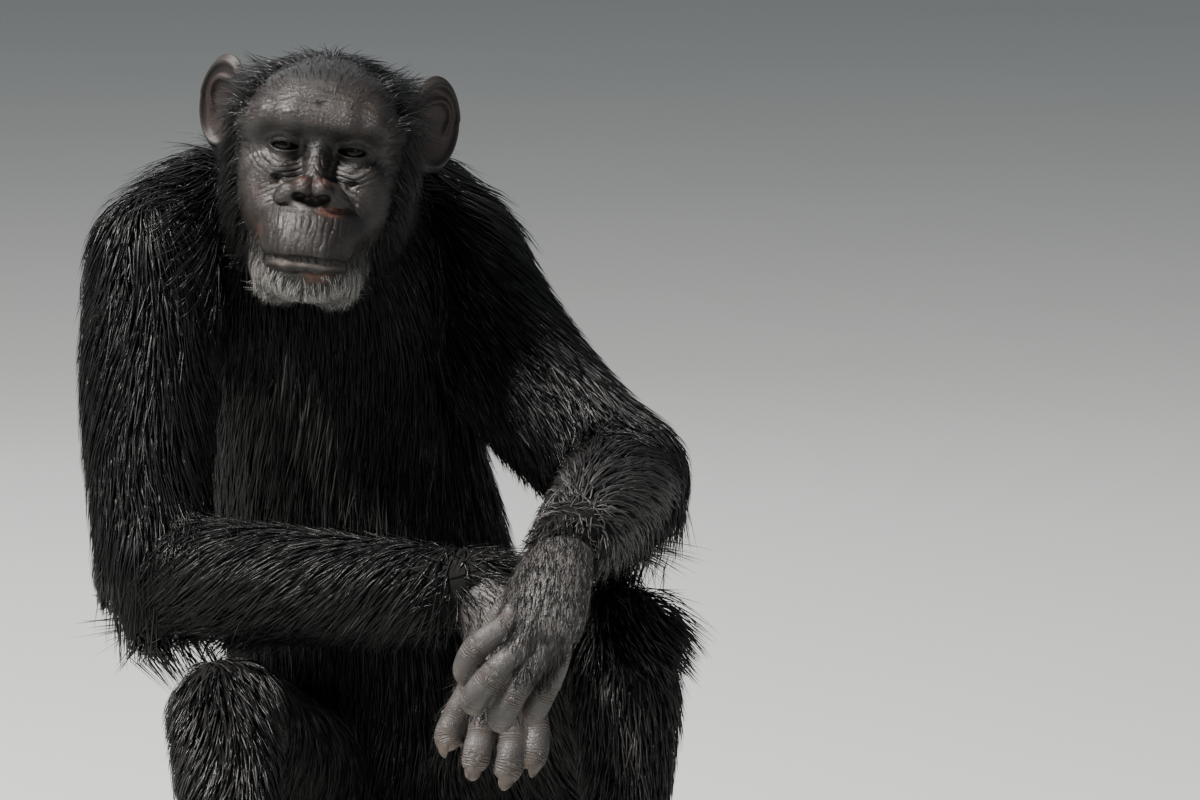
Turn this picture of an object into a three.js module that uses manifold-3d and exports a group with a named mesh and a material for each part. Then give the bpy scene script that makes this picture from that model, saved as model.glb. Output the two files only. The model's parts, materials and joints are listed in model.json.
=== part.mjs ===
// A life-size seated chimpanzee, in the pose of a museum model: it sits on its rump with both knees drawn
// up, the right forearm laid across its lap and the left hand draped over the right one.
// Millimetres, +Z up. The animal faces -Y, and its left side is at +X. The origin is on the floor, in the
// middle of the flat under the rump.
import * as THREE from "three";
import { mergeVertices } from "three/addons/utils/BufferGeometryUtils.js";
import Module from "manifold-3d";

const wasm = await Module();
wasm.setup();

// Clearance that two touching pieces keep.
const GAP = 0.3;

// Joints of the pose.
const JOINT = {
  shoulderR: [-186, -92, 560],
  elbowR: [-184, -196, 312],
  wristR: [100, -286, 314],
  shoulderL: [43, 8, 549],
  elbowL: [191, -128, 377],
  wristL: [137, -372, 350],
  hipR: [-66, -18, 98],
  kneeR: [-126, -262, 214],
  ankleR: [-112, -420, 60],
  hipL: [68, -18, 100],
  kneeL: [186, -236, 268],
  ankleL: [180, -336, 60],
};

// Head: where the ear canals' midpoint is, and how the head is turned, in degrees.
const HEAD = { at: [-52, -104, 636], chinDown: 5.7, yaw: 1.6, roll: 6 };

const TAU = 2 * Math.PI;
const vec = (p) => new THREE.Vector3(...p);
const clamp = (x, low, high) => Math.min(high, Math.max(low, x));
const mix = (a, b, t) => a + (b - a) * t;

// Seeded random numbers from 0 to 1.
function dice(seed) {
  let state = seed >>> 0;
  return () => {
    state = (state + 0x6d2b79f5) >>> 0;
    let t = state;
    t = Math.imul(t ^ (t >>> 15), t | 1);
    t ^= t + Math.imul(t ^ (t >>> 7), t | 61);
    return ((t ^ (t >>> 14)) >>> 0) / 4294967296;
  };
}

// A closed solid from a geometry's positions.
function solidOf(geometry) {
  for (const name of Object.keys(geometry.attributes)) {
    if (name !== "position") geometry.deleteAttribute(name);
  }
  const merged = mergeVertices(geometry, 1e-3);
  const mesh = {
    numProp: 3,
    vertProperties: merged.attributes.position.array,
    triVerts: new Uint32Array(merged.index.array),
  };
  const made = new wasm.Manifold(new wasm.Mesh(mesh));
  if (made.volume() > 0) return made;
  for (let i = 0; i < mesh.triVerts.length; i += 3) {
    [mesh.triVerts[i], mesh.triVerts[i + 1]] = [mesh.triVerts[i + 1], mesh.triVerts[i]];
  }
  return new wasm.Manifold(new wasm.Mesh(mesh));
}

// A ball whose every point is moved to place(round, along), both from 0 to 1.
function mouldedBall(sides, rings, place) {
  const ball = new THREE.SphereGeometry(1, sides, rings);
  const { position, uv } = ball.attributes;
  for (let i = 0; i < position.count; i++) {
    const p = place(uv.getX(i) % 1, clamp(1 - uv.getY(i), 0, 1));
    position.setXYZ(i, p.x, p.y, p.z);
  }
  return solidOf(ball);
}

// A body form drawn along a curve: stations are [x, y, z, half width, half depth], front is the way its
// front faces, and the ends are rounded over the lengths in caps.
class Form {
  constructor({ stations, front, caps, sides = 12, rings = 10 }) {
    Object.assign(this, { sides, rings, caps });
    this.curve = new THREE.CatmullRomCurve3(stations.map((s) => vec(s.slice(0, 3))), false, "chordal");
    this.widths = stations.map((s) => s.slice(3));
    this.front = vec(front).normalize();
    this.length = this.curve.getLength();
  }
  // Half width and half depth where the curve's own parameter is t.
  size(t) {
    const n = this.widths.length - 1;
    const i = Math.min(n - 1, Math.floor(t * n));
    const k = t * n - i;
    const at = (j) => this.widths[clamp(j, 0, n)];
    return [0, 1].map((c) => {
      const [a, b, d, e] = [at(i - 1)[c], at(i)[c], at(i + 1)[c], at(i + 2)[c]];
      return b + 0.5 * k * (d - a + k * (2 * a - 5 * b + 4 * d - e + k * (3 * (b - d) + e - a)));
    });
  }
  frame(along) {
    const t = clamp(along, 0, 1);
    const at = this.curve.getPoint(t);
    const tangent = this.curve.getTangent(t);
    const side = new THREE.Vector3().crossVectors(tangent, this.front).normalize();
    const front = new THREE.Vector3().crossVectors(side, tangent).normalize();
    return { at, tangent, side, front, size: this.size(t) };
  }
  roundness(t) {
    const fromStart = t * this.length;
    const fromEnd = (1 - t) * this.length;
    const part = (distance, cap) => Math.sqrt(Math.max(0, 1 - (1 - Math.min(1, distance / cap)) ** 2));
    return part(fromStart, this.caps[0]) * part(fromEnd, this.caps[1]);
  }
  point(round, along, pad = 0) {
    const f = this.frame(along);
    const r = this.roundness(clamp(along, 0, 1));
    const c = Math.cos(TAU * round);
    const n = Math.sin(TAU * round);
    return f.at.clone()
      .addScaledVector(f.side, c * (f.size[0] * r + pad * Math.min(1, 3 * r)))
      .addScaledVector(f.front, n * (f.size[1] * r + pad * Math.min(1, 3 * r)));
  }
  normal(round, along) {
    const step = 0.004;
    const a = clamp(along, 0.03, 0.97);
    const du = this.point(round + step, a).sub(this.point(round - step, a));
    const dv = this.point(round, a + step).sub(this.point(round, a - step));
    const n = du.cross(dv).normalize();
    const out = this.point(round, a).sub(this.frame(a).at);
    return n.dot(out) < 0 ? n.negate() : n;
  }
  // Rings stand closer together near the rounded ends.
  solid(pad = 0) {
    const spaced = (v) => mix(v, 0.5 - 0.5 * Math.cos(Math.PI * v), 0.75);
    return mouldedBall(this.sides, this.rings, (u, v) => {
      const p = this.point(u, spaced(v), pad);
      if (v === 0) p.addScaledVector(this.curve.getTangent(0), -pad);
      if (v === 1) p.addScaledVector(this.curve.getTangent(1), pad);
      return p;
    });
  }
  // Rough distance of a point from the form's surface, below 0 inside it.
  depth(p) {
    const samples = 20;
    let least = Infinity;
    for (let i = 0; i <= samples; i++) {
      const { at, side, front, size: [a, b] } = this.frame(i / samples);
      const off = p.clone().sub(at);
      const reach = off.length();
      const across = Math.hypot(off.dot(side) / a, off.dot(front) / b);
      const radius = across > 0.05 ? Math.min(reach / across, Math.max(a, b)) : Math.max(a, b);
      least = Math.min(least, reach - radius);
    }
    return least;
  }
}

const join = (pieces) => pieces.reduce((sum, piece) => sum.add(piece));
const largest = (solid) => solid.decompose().reduce((a, b) => (b.volume() > a.volume() ? b : a));
const block = (low, high) => {
  const size = high.map((h, i) => h - low[i]);
  return solidOf(new THREE.BoxGeometry(...size).translate(...high.map((h, i) => (h + low[i]) / 2)));
};
const ovoid = (at, radii, sides = 12, rings = 8) =>
  solidOf(new THREE.SphereGeometry(1, sides, rings).scale(...radii).translate(...at));

// Torso: one form from the rump to the nape, with a hunched back, turned so that the right shoulder comes
// forward.
const torso = new Form({
  stations: [
    [0, 6, -30, 80, 62],
    [0, 6, 14, 112, 90],
    [0, 10, 76, 130, 110],
    [-4, 20, 150, 130, 114],
    [-14, 26, 230, 124, 112],
    [-28, 20, 310, 118, 108],
    [-42, 4, 392, 110, 104],
    [-56, -14, 470, 110, 102],
    [-62, -22, 540, 110, 92],
    [-62, -26, 604, 76, 66],
  ],
  front: [0.16, -1, 0],
  caps: [40, 42],
  sides: 14,
  rings: 12,
});
const WAIST = 250;

// Shoulders: the mass of the shoulder blades and the muscles over them, from one shoulder to the other.
const yoke = new Form({
  stations: [
    [-206, -98, 550, 40, 36], [-166, -74, 564, 62, 50], [-112, -36, 572, 70, 56], [-58, -10, 574, 72, 60],
    [-6, 6, 570, 70, 56], [34, 14, 556, 60, 50], [66, 20, 542, 38, 32],
  ],
  front: [0, -1, 0],
  caps: [30, 30],
  sides: 12,
  rings: 9,
});

// Neck, from between the shoulders forward into the back of the head.
const neck = new Form({
  stations: [
    [-64, -2, 556, 70, 58],
    [-61, -32, 594, 70, 62],
    [-56, -64, 622, 62, 58],
    [-52, -88, 638, 50, 48],
  ],
  front: [0, -0.7, -0.7],
  caps: [50, 50],
  sides: 12,
  rings: 7,
});

// Arms and legs: from joint to joint, with the muscles' widths between.
const limb = (from, to, sizes, options) => {
  const [a, b] = [vec(from), vec(to)];
  const bow = options.bow ? vec(options.bow) : new THREE.Vector3();
  const stations = sizes.map(([t, wide, deep]) => {
    const p = a.clone().lerp(b, t).addScaledVector(bow, 4 * t * (1 - t));
    return [p.x, p.y, p.z, wide, deep];
  });
  return new Form({ stations, ...options });
};

const upperArmSizes = [
  [-0.2, 40, 40], [0, 56, 56], [0.25, 57, 56], [0.55, 54, 53], [0.85, 49, 48], [1.02, 46, 46], [1.16, 34, 36],
];
const forearmSizes = [
  [-0.15, 34, 34], [0, 44, 44], [0.2, 48, 46], [0.45, 45, 43], [0.7, 40, 38], [0.9, 36, 32], [1.06, 31, 26],
];
const thighSizes = [
  [-0.2, 52, 52], [0, 72, 70], [0.3, 70, 68], [0.6, 60, 60], [0.85, 50, 52], [1, 46, 47], [1.13, 32, 34],
];
const shinSizes = [
  [-0.1, 34, 34], [0.04, 44, 45], [0.25, 46, 50], [0.5, 40, 42], [0.75, 31, 33], [0.92, 27, 30], [1.05, 25, 30],
];
const limbRings = { sides: 9, rings: 7 };
const upperArmR = limb(JOINT.shoulderR, JOINT.elbowR, upperArmSizes,
  { front: [-0.3, -1, 0], caps: [46, 40], bow: [-6, 4, 0], ...limbRings });
const upperArmL = limb(JOINT.shoulderL, JOINT.elbowL, upperArmSizes.map(([t, a, b]) => [t, a + 3, b + 3]),
  { front: [-0.6, -1, -0.6], caps: [46, 40], bow: [-14, 0, -8], ...limbRings });
const forearmR = limb(JOINT.elbowR, JOINT.wristR, forearmSizes,
  { front: [0, -1, 0], caps: [30, 18], bow: [0, -4, -4], ...limbRings });
const forearmL = limb(JOINT.elbowL, JOINT.wristL, forearmSizes,
  { front: [0, -0.4, 1], caps: [30, 18], bow: [3, 0, 5], ...limbRings });
const thighR = limb(JOINT.hipR, JOINT.kneeR, thighSizes,
  { front: [0, -0.3, 1], caps: [50, 40], bow: [-8, 0, -4], ...limbRings });
const thighL = limb(JOINT.hipL, JOINT.kneeL, thighSizes,
  { front: [0, -0.3, 1], caps: [50, 40], bow: [10, 0, 0], ...limbRings });
const shinR = limb(JOINT.kneeR, JOINT.ankleR, shinSizes,
  { front: [0, -0.7, 0.7], caps: [34, 22], bow: [0, 8, -6], ...limbRings });
const shinL = limb(JOINT.kneeL, JOINT.ankleL, shinSizes,
  { front: [0, -1, 0.4], caps: [34, 22], bow: [6, 10, 0], ...limbRings });

// Digits: a chain of joints, thickest at the knuckles.
function digit(joints, radius, rings = 6) {
  const stations = joints.map(([x, y, z], i) => {
    const knuckle = i === joints.length - 1 ? 0.8 : 1;
    return [x, y, z, radius * knuckle, radius * knuckle * 0.94];
  });
  return new Form({ stations, front: [0.2, -1, 0.3], caps: [radius * 0.9, radius * 0.9], sides: 6, rings });
}

const handL = {
  palm: new Form({
    stations: [
      [137, -366, 353, 28, 21], [133, -394, 341, 31, 20], [127, -418, 322, 35, 18],
      [122, -432, 304, 36, 16], [119, -438, 291, 32, 13],
    ],
    front: [-0.35, -0.8, 0.5], caps: [16, 14], sides: 10, rings: 6,
  }),
  digits: [
    digit([[104, -424, 319], [98, -434, 307], [73, -442, 288], [66, -432, 270], [70, -413, 262]], 11.5),
    digit([[117, -434, 308], [112, -442, 295], [84, -452, 267], [72, -444, 250], [75, -424, 242]], 12),
    digit([[128, -436, 300], [123, -442, 287], [101, -450, 253], [92, -440, 235], [95, -421, 229]], 11.8),
    digit([[139, -428, 296], [138, -431, 283], [125, -434, 253], [118, -427, 238], [117, -412, 232]], 10.8),
    digit([[110, -394, 330], [98, -394, 316], [88, -390, 298], [84, -382, 286]], 10.5),
  ],
};
const handR = {
  palm: new Form({
    stations: [
      [70, -284, 312, 27, 20], [86, -298, 300, 31, 20], [96, -322, 276, 35, 18],
      [93, -346, 254, 36, 16], [89, -357, 242, 32, 13],
    ],
    front: [-0.3, -0.9, 0.5], caps: [16, 14], sides: 10, rings: 6,
  }),
  digits: [
    digit([[110, -338, 258], [114, -352, 243], [119, -371, 216], [117, -383, 195], [112, -385, 186]], 11.2),
    digit([[98, -346, 250], [99, -360, 235], [101, -379, 207], [97, -389, 187], [92, -389, 178]], 11.6),
    digit([[84, -350, 248], [81, -362, 235], [76, -381, 211], [72, -391, 194], [71, -389, 186]], 11.4),
    digit([[70, -346, 252], [64, -358, 240], [56, -378, 224], [51, -390, 210], [54, -394, 202]], 10.4),
    digit([[107, -308, 282], [120, -318, 268], [128, -330, 252], [131, -342, 238]], 10.4),
  ],
};

// Feet: a flat sole, a heel, four toes and a thumb-like great toe on the inner side.
function foot(ankle, side, turn) {
  const heading = turn * Math.PI / 180;
  const ahead = new THREE.Vector3(Math.sin(heading), -Math.cos(heading), 0);
  const inward = new THREE.Vector3(-Math.cos(heading), -Math.sin(heading), 0).multiplyScalar(side);
  const at = (forward, inner, up) => {
    const p = vec(ankle).setZ(0).addScaledVector(ahead, forward).addScaledVector(inward, inner);
    return [p.x, p.y, up];
  };
  const sole = new Form({
    stations: [
      [...at(-50, 0, 26), 20, 22], [...at(-34, 0, 32), 27, 32], [...at(0, 0, 38), 31, 40],
      [...at(36, 2, 27), 35, 30], [...at(70, 0, 18), 40, 21], [...at(98, -3, 13), 41, 15],
      [...at(112, -4, 12), 36, 12],
    ],
    front: [0, 0, 1], caps: [20, 14], sides: 9, rings: 7,
  });
  const digits = [22, 4, -15, -32].map((inner, i) => {
    const reach = [104, 108, 104, 94][i];
    const tip = [172, 178, 168, 150][i];
    return digit([at(reach - 18, inner, 15), at(reach, inner, 15), at(mix(reach, tip, 0.5), inner, 21),
      at(mix(reach, tip, 0.85), inner, 14), at(tip, inner, 9)], [11.5, 11.5, 11, 10][i], 5);
  });
  digits.push(digit([at(30, 18, 18), at(54, 40, 17), at(84, 56, 18), at(112, 64, 14), at(124, 66, 12)], 13, 5));
  return { palm: sole, digits };
}
const footR = foot(JOINT.ankleR, -1, -14);
const footL = foot(JOINT.ankleL, 1, 12);

// Head, about the ear canals' midpoint: x to the animal's left, y to the back, z up, with the line from
// the ear canal to the eye socket's lower rim level. Lengths are those of a grown animal.
const EYE = { x: 26.5, y: -79, z: 17, radius: 11.5 };
const EAR = { x: 67, y: 2, z: 25, half: [27, 39], thick: 7, outward: 43, lean: 7 };

const toUnit = Math.PI / 180;
const headTurn = new THREE.Matrix4()
  .makeTranslation(...HEAD.at)
  .multiply(new THREE.Matrix4().makeRotationZ(-HEAD.yaw * toUnit))
  .multiply(new THREE.Matrix4().makeRotationY(HEAD.roll * toUnit))
  .multiply(new THREE.Matrix4().makeRotationX(HEAD.chinDown * toUnit));

// Signed distances, in millimetres.
const ball = (p, c, r) => {
  const [x, y, z] = p.map((v, i) => v - c[i]);
  const near = Math.hypot(x / r[0], y / r[1], z / r[2]);
  const slope = Math.hypot(x / r[0] ** 2, y / r[1] ** 2, z / r[2] ** 2);
  return near < 1e-6 ? -Math.min(...r) : near * (near - 1) / slope;
};
const rod = (p, a, b, ra, rb = ra) => {
  const ab = b.map((v, i) => v - a[i]);
  const ap = p.map((v, i) => v - a[i]);
  const t = clamp(ap.reduce((s, v, i) => s + v * ab[i], 0) / ab.reduce((s, v) => s + v * v, 0), 0, 1);
  return Math.hypot(...ap.map((v, i) => v - ab[i] * t)) - mix(ra, rb, t);
};
const blend = (a, b, k) => {
  const h = Math.max(0, k - Math.abs(a - b)) / k;
  return Math.min(a, b) - h * h * k / 4;
};
const carve = (a, b, k) => -blend(-a, b, k);

function headField(x, y, z) {
  const p = [Math.abs(x), y, z];
  let d = ball(p, [0, -8, 28], [59, 76, 50]);
  d = blend(d, ball(p, [34, -30, 18], [30, 48, 36]), 16);
  d = blend(d, ball(p, [0, -46, -6], [50, 42, 40]), 18);
  d = blend(d, rod(p, [40, -78, -4], [60, -40, 0], 12, 12), 16);
  // The ball of the muzzle, the tall upper lip, the lower lip with the chin, and the jaw.
  d = blend(d, ball(p, [0, -84, -40], [42, 46, 34]), 18);
  d = blend(d, ball(p, [0, -106, -43], [36, 37, 21]), 14);
  d = blend(d, ball(p, [0, -96, -75], [32, 36, 23]), 12);
  d = blend(d, rod(p, [44, -18, -42], [24, -80, -78], 20, 18), 18);
  d = carve(d, ball(p, [27, -101, 14], [20, 16, 13.5]), 9);
  d = blend(d, rod(p, [0, -81, 34], [30, -84, 39], 9.5, 10), 13);
  d = blend(d, rod(p, [30, -84, 39], [52, -69, 30], 10, 9), 13);
  d = blend(d, rod(p, [52, -68, 28], [53, -64, 4], 8, 9), 16);
  // Lids over the eyeballs, and the soft bags below them.
  d = blend(d, ball(p, [EYE.x, EYE.y, EYE.z], [14.6, 14.2, 14.2]), 5);
  d = blend(d, ball(p, [30, -84, -2], [17, 11, 8]), 8);
  // The low bridge, the tip and the wings of the nose.
  d = blend(d, rod(p, [0, -84, 16], [0, -108, -6], 6, 8), 9);
  d = blend(d, ball(p, [6, -118, -8], [9, 9, 7.5]), 6);
  d = blend(d, ball(p, [17, -111, -12], [12, 10, 8.5]), 7);
  // Lips: a rolled rim above and below the line of the mouth.
  d = blend(d, rod(p, [0, -140, -54], [30, -120, -57], 6.5, 5), 8);
  d = blend(d, rod(p, [0, -135, -68], [28, -116, -69], 6.5, 5), 7);
  return d;
}

// The head's surface is star-shaped about this point.
const HEAD_CORE = [0, -44, -4];

const CROWDING = 0.55;
function headPoint(round, along, pad = 0) {
  // The pole is at the lips, and the rings crowd towards the face.
  const polar = Math.PI * mix(along, along * along, CROWDING);
  const way = [Math.sin(polar) * Math.cos(TAU * round), -Math.cos(polar), Math.sin(polar) * Math.sin(TAU * round)];
  let [near, far] = [5, 150];
  for (let i = 0; i < 22; i++) {
    const middle = (near + far) / 2;
    const inside = headField(...HEAD_CORE.map((c, k) => c + way[k] * middle)) < pad;
    if (inside) near = middle;
    else far = middle;
  }
  return new THREE.Vector3(...HEAD_CORE.map((c, k) => c + way[k] * near));
}

const headBall = (pad) => mouldedBall(32, 28, (u, v) => headPoint(u, v, pad));

// What is cut from the head: the slit of the mouth, the nostrils, the eye openings and the eyeballs' room.
function mouthSlit() {
  const stations = [[-36, -98, -66, 7, 0.8], [-25, -119, -63, 8, 1.2], [0, -136, -61, 9, 1.9],
    [25, -119, -63, 8, 1.2], [36, -98, -66, 7, 0.8]];
  return new Form({ stations, front: [0, 0, 1], caps: [6, 6], sides: 6, rings: 6 }).solid();
}
const nostril = (s) => solidOf(new THREE.SphereGeometry(1, 8, 6).scale(5.2, 8, 4.2)
  .rotateX(-0.55).rotateZ(s * 0.35).translate(s * 8.6, -124, -12.5));
const lidOpening = (s) => solidOf(new THREE.SphereGeometry(1, 10, 6).scale(12.2, 16, 4.3)
  .rotateY(s * 0.1).rotateZ(s * 0.12).translate(s * (EYE.x + 0.5), EYE.y - 12, EYE.z - 0.6));
const eyeRoom = (s) => ovoid([s * EYE.x, EYE.y, EYE.z], [1, 1, 1].map((k) => k * (EYE.radius + GAP)), 12, 8);

// Ear: a flattened dish that opens forward and outward, with a rolled rim and a small flap at its front.
function earSolid(s, pad = 0) {
  const [wide, tall] = EAR.half;
  const shell = new THREE.SphereGeometry(1, 14, 7)
    .scale(wide + pad, EAR.thick + pad, tall + pad).translate(wide * 0.86, 0, 0);
  const hollow = new THREE.SphereGeometry(1, 11, 6)
    .scale(wide * 0.74, EAR.thick * 1.15, tall * 0.78).translate(wide * 0.86, -EAR.thick * 0.95, 1);
  const flap = new THREE.SphereGeometry(1, 6, 5).scale(5 + pad, 6 + pad, 8 + pad).translate(6, -2, -8);
  const solids = [shell, hollow, flap].map((g) => {
    g.rotateY(-EAR.lean * toUnit).rotateZ((90 - EAR.outward) * toUnit * 0.9).translate(EAR.x, EAR.y, EAR.z);
    if (s < 0) g.scale(-1, 1, 1);
    return solidOf(g);
  });
  const body = pad ? solids[0] : solids[0].subtract(solids[1]);
  return body.add(solids[2]);
}

// A flat, tapered lock of the coat, along a path of points with the outward way at each. Its section is a
// low triangle with the flat side down, and its root is sunk. A grown one is much wider, so that its slopes
// still clear the sharp edges.
const LOCK_SHARES = [0.5, 1, 0.8];
const GROWN = { side: 16, top: 3, tip: 24 };
function lock(path, wide, thick, pad) {
  const last = path.length - 1;
  const points = [];
  path.forEach(({ at, out }, i) => {
    const ahead = (path[i + 1] ?? path[i]).at.clone().sub((path[i - 1] ?? path[i]).at).normalize();
    const side = new THREE.Vector3().crossVectors(out, ahead).normalize();
    const up = new THREE.Vector3().crossVectors(ahead, side).normalize();
    if (i === last) {
      points.push(at.clone().addScaledVector(ahead, GROWN.tip * pad));
      return;
    }
    const half = wide / 2 * LOCK_SHARES[i] + GROWN.side * pad;
    for (const [a, b] of [[half, -pad], [0, thick + GROWN.top * pad], [-half, -pad]]) {
      points.push(at.clone().addScaledVector(side, a).addScaledVector(up, b));
    }
  });
  const faces = [0, 1, 2];
  for (let i = 0; i < last; i++) {
    for (let k = 0; k < 3; k++) {
      const [a, b] = [3 * i + k, 3 * i + (k + 1) % 3];
      if (i === last - 1) faces.push(a, 3 * last, b);
      else faces.push(a, a + 3, b, b, a + 3, b + 3);
    }
  }
  const geometry = new THREE.BufferGeometry();
  geometry.setAttribute("position", new THREE.Float32BufferAttribute(points.flatMap((p) => p.toArray()), 3));
  geometry.setIndex(faces);
  return solidOf(geometry);
}

// The path of a lock over a form: it starts sunk, follows the coat's lie and lifts towards its tip. Where
// it leaves the form's end, or its underside if it hangs, it goes straight on and droops.
const LOCK_RISE = [-8, 2.5, 6];
const LOCK_STEPS = LOCK_RISE.length;
const DROOP = 0.16;
const UNDERSIDE = -0.25;
function lockPath(form, round, along, lie, length, lift, hangs) {
  const step = length / LOCK_STEPS;
  const path = [];
  let [u, v] = [round, along];
  for (let i = 0; i <= LOCK_STEPS; i++) {
    const out = form.normal(u, v);
    const way = lie.clone().addScaledVector(out, -lie.dot(out)).normalize();
    if (i && (v < 0.03 || v > 0.97 || (hangs && out.z < UNDERSIDE))) {
      const before = path[i - 1];
      const on = (before.way ?? way).clone();
      on.z -= DROOP * i;
      on.normalize();
      path.push({ at: before.at.clone().addScaledVector(on, step), out: before.out, way: on });
      continue;
    }
    path.push({ at: form.point(u, v).addScaledVector(out, LOCK_RISE[i] ?? lift), out, way });
    const e = 0.01;
    const du = form.point(u + e, v).sub(form.point(u - e, v)).divideScalar(2 * e);
    const dv = form.point(u, v + e).sub(form.point(u, v - e)).divideScalar(2 * e);
    const [a, b, c] = [du.dot(du), du.dot(dv), dv.dot(dv)];
    const [p, q] = [du.dot(way), dv.dot(way)];
    const scale = Math.max(1e-6, a * c - b * b);
    u += step * (p * c - q * b) / scale;
    v += step * (q * a - p * b) / scale;
  }
  return path;
}

// Rows of locks over a form. region says from where to where they grow, along and round the form. Each of
// keepOff is a neighbour's form and how far the locks stay off it.
function coat(form, seed, region, keepOff = []) {
  const roll = dice(seed);
  const { from, to, rows, wide, long, lift = 10, start = 0, end = 1, hangs = false, lie } = region;
  const grown = [];
  for (let r = 0; r < rows; r++) {
    const along = mix(from, to, rows === 1 ? 0.5 : r / (rows - 1));
    const [a, b] = form.frame(along).size;
    const around = TAU * Math.sqrt((a * a + b * b) / 2) * form.roundness(along) * (end - start);
    const count = Math.max(2, Math.round(around / (wide * 1.04)));
    for (let k = 0; k < count; k++) {
      const u = start + (end - start) * (k + 0.5 * (r % 2) + 0.25 + 0.16 * (roll() - 0.5)) / count;
      const v = along + 0.012 * (roll() - 0.5);
      const way = vec(lie(u, v)).normalize();
      const length = long * mix(0.9, 1.1, roll());
      const height = lift + 1.5 * (roll() - 0.5) + (k % 2 ? 1 : -1);
      const path = lockPath(form, u, v, way, length, height, hangs);
      const free = path.slice(1);
      const meets = (at) => keepOff.some(([other, off]) => other.depth(at) < off);
      const crosses = free.some(({ at }) => at.z < 8 || meets(at));
      if (!crosses) grown.push({ path, wide: wide * mix(0.92, 1.06, roll()), thick: 3 });
    }
  }
  return grown;
}

// Locks that grow on the head, whose surface is found along rays.
const HEAD_STEPS = 3;
function headLock(root, lie, length, wide, lift) {
  const way = vec(lie).normalize();
  const path = [];
  const at = headPoint(...headAngles(root));
  for (let i = 0; i <= HEAD_STEPS; i++) {
    const e = 1.5;
    const [x, y, z] = at.toArray();
    const out = new THREE.Vector3(
      headField(x + e, y, z) - headField(x - e, y, z),
      headField(x, y + e, z) - headField(x, y - e, z),
      headField(x, y, z + e) - headField(x, y, z - e),
    ).normalize();
    const raised = at.clone().addScaledVector(out, i ? mix(1.5, lift, (i - 1) / (HEAD_STEPS - 1)) : -6);
    path.push({ at: raised.applyMatrix4(headTurn), out: out.clone().transformDirection(headTurn) });
    const on = way.clone().addScaledVector(out, -way.dot(out)).normalize();
    at.addScaledVector(on, length / HEAD_STEPS);
    at.addScaledVector(out, -clamp(headField(...at.toArray()), -6, i ? 1.5 : 6));
  }
  return { path, wide, thick: 2.6 };
}

function headCoat() {
  const roll = dice(11);
  const paths = [];
  const grow = (root, lie, length, wide, lift) => {
    paths.push(headLock(root, lie, length * mix(0.85, 1.15, roll()), wide, lift));
  };
  for (const s of [-1, 1]) {
    // Before the ear, from the temple down to the jaw, hanging down and back.
    for (let k = 0; k < 3; k++) grow([s * 50, -46, mix(44, -46, k / 2)], [s * 0.4, 0.5, -1], 52, 32, 13);
    for (let k = 0; k < 2; k++) grow([s * 50, -20, mix(0, -42, k)], [s * 0.3, 0.4, -1], 50, 34, 13);
    // The crown's long hair, swept back, and up at the sides.
    for (let k = 0; k < 2; k++) {
      grow([s * mix(16, 42, k), -22, mix(60, 46, k)], [s * 0.5, 1, 0.6], 42, 32, 12);
      grow([s * mix(14, 44, k), 22, mix(60, 38, k)], [s * 0.3, 1, -0.2], 50, 34, 10);
    }
    // The beard's short hair, on the chin and along the jaw.
    for (let k = 0; k < 2; k++) {
      grow([s * mix(9, 30, k), mix(-116, -92, k), mix(-90, -82, k)], [s * 0.2, 0.2, -1], 24, 24, 5);
    }
  }
  return paths;
}

// The ball's own parameters for the way from the head's core to a point.
function headAngles([x, y, z]) {
  const way = new THREE.Vector3(x - HEAD_CORE[0], y - HEAD_CORE[1], z - HEAD_CORE[2]).normalize();
  const polar = Math.acos(clamp(-way.y, -1, 1)) / Math.PI;
  const along = (CROWDING - 1 + Math.sqrt((1 - CROWDING) ** 2 + 4 * CROWDING * polar)) / (2 * CROWDING);
  const round = Math.atan2(way.z, way.x) / TAU;
  return [(round + 1) % 1, along];
}

const turned = (solid) => solid.transform(headTurn.elements);

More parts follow.
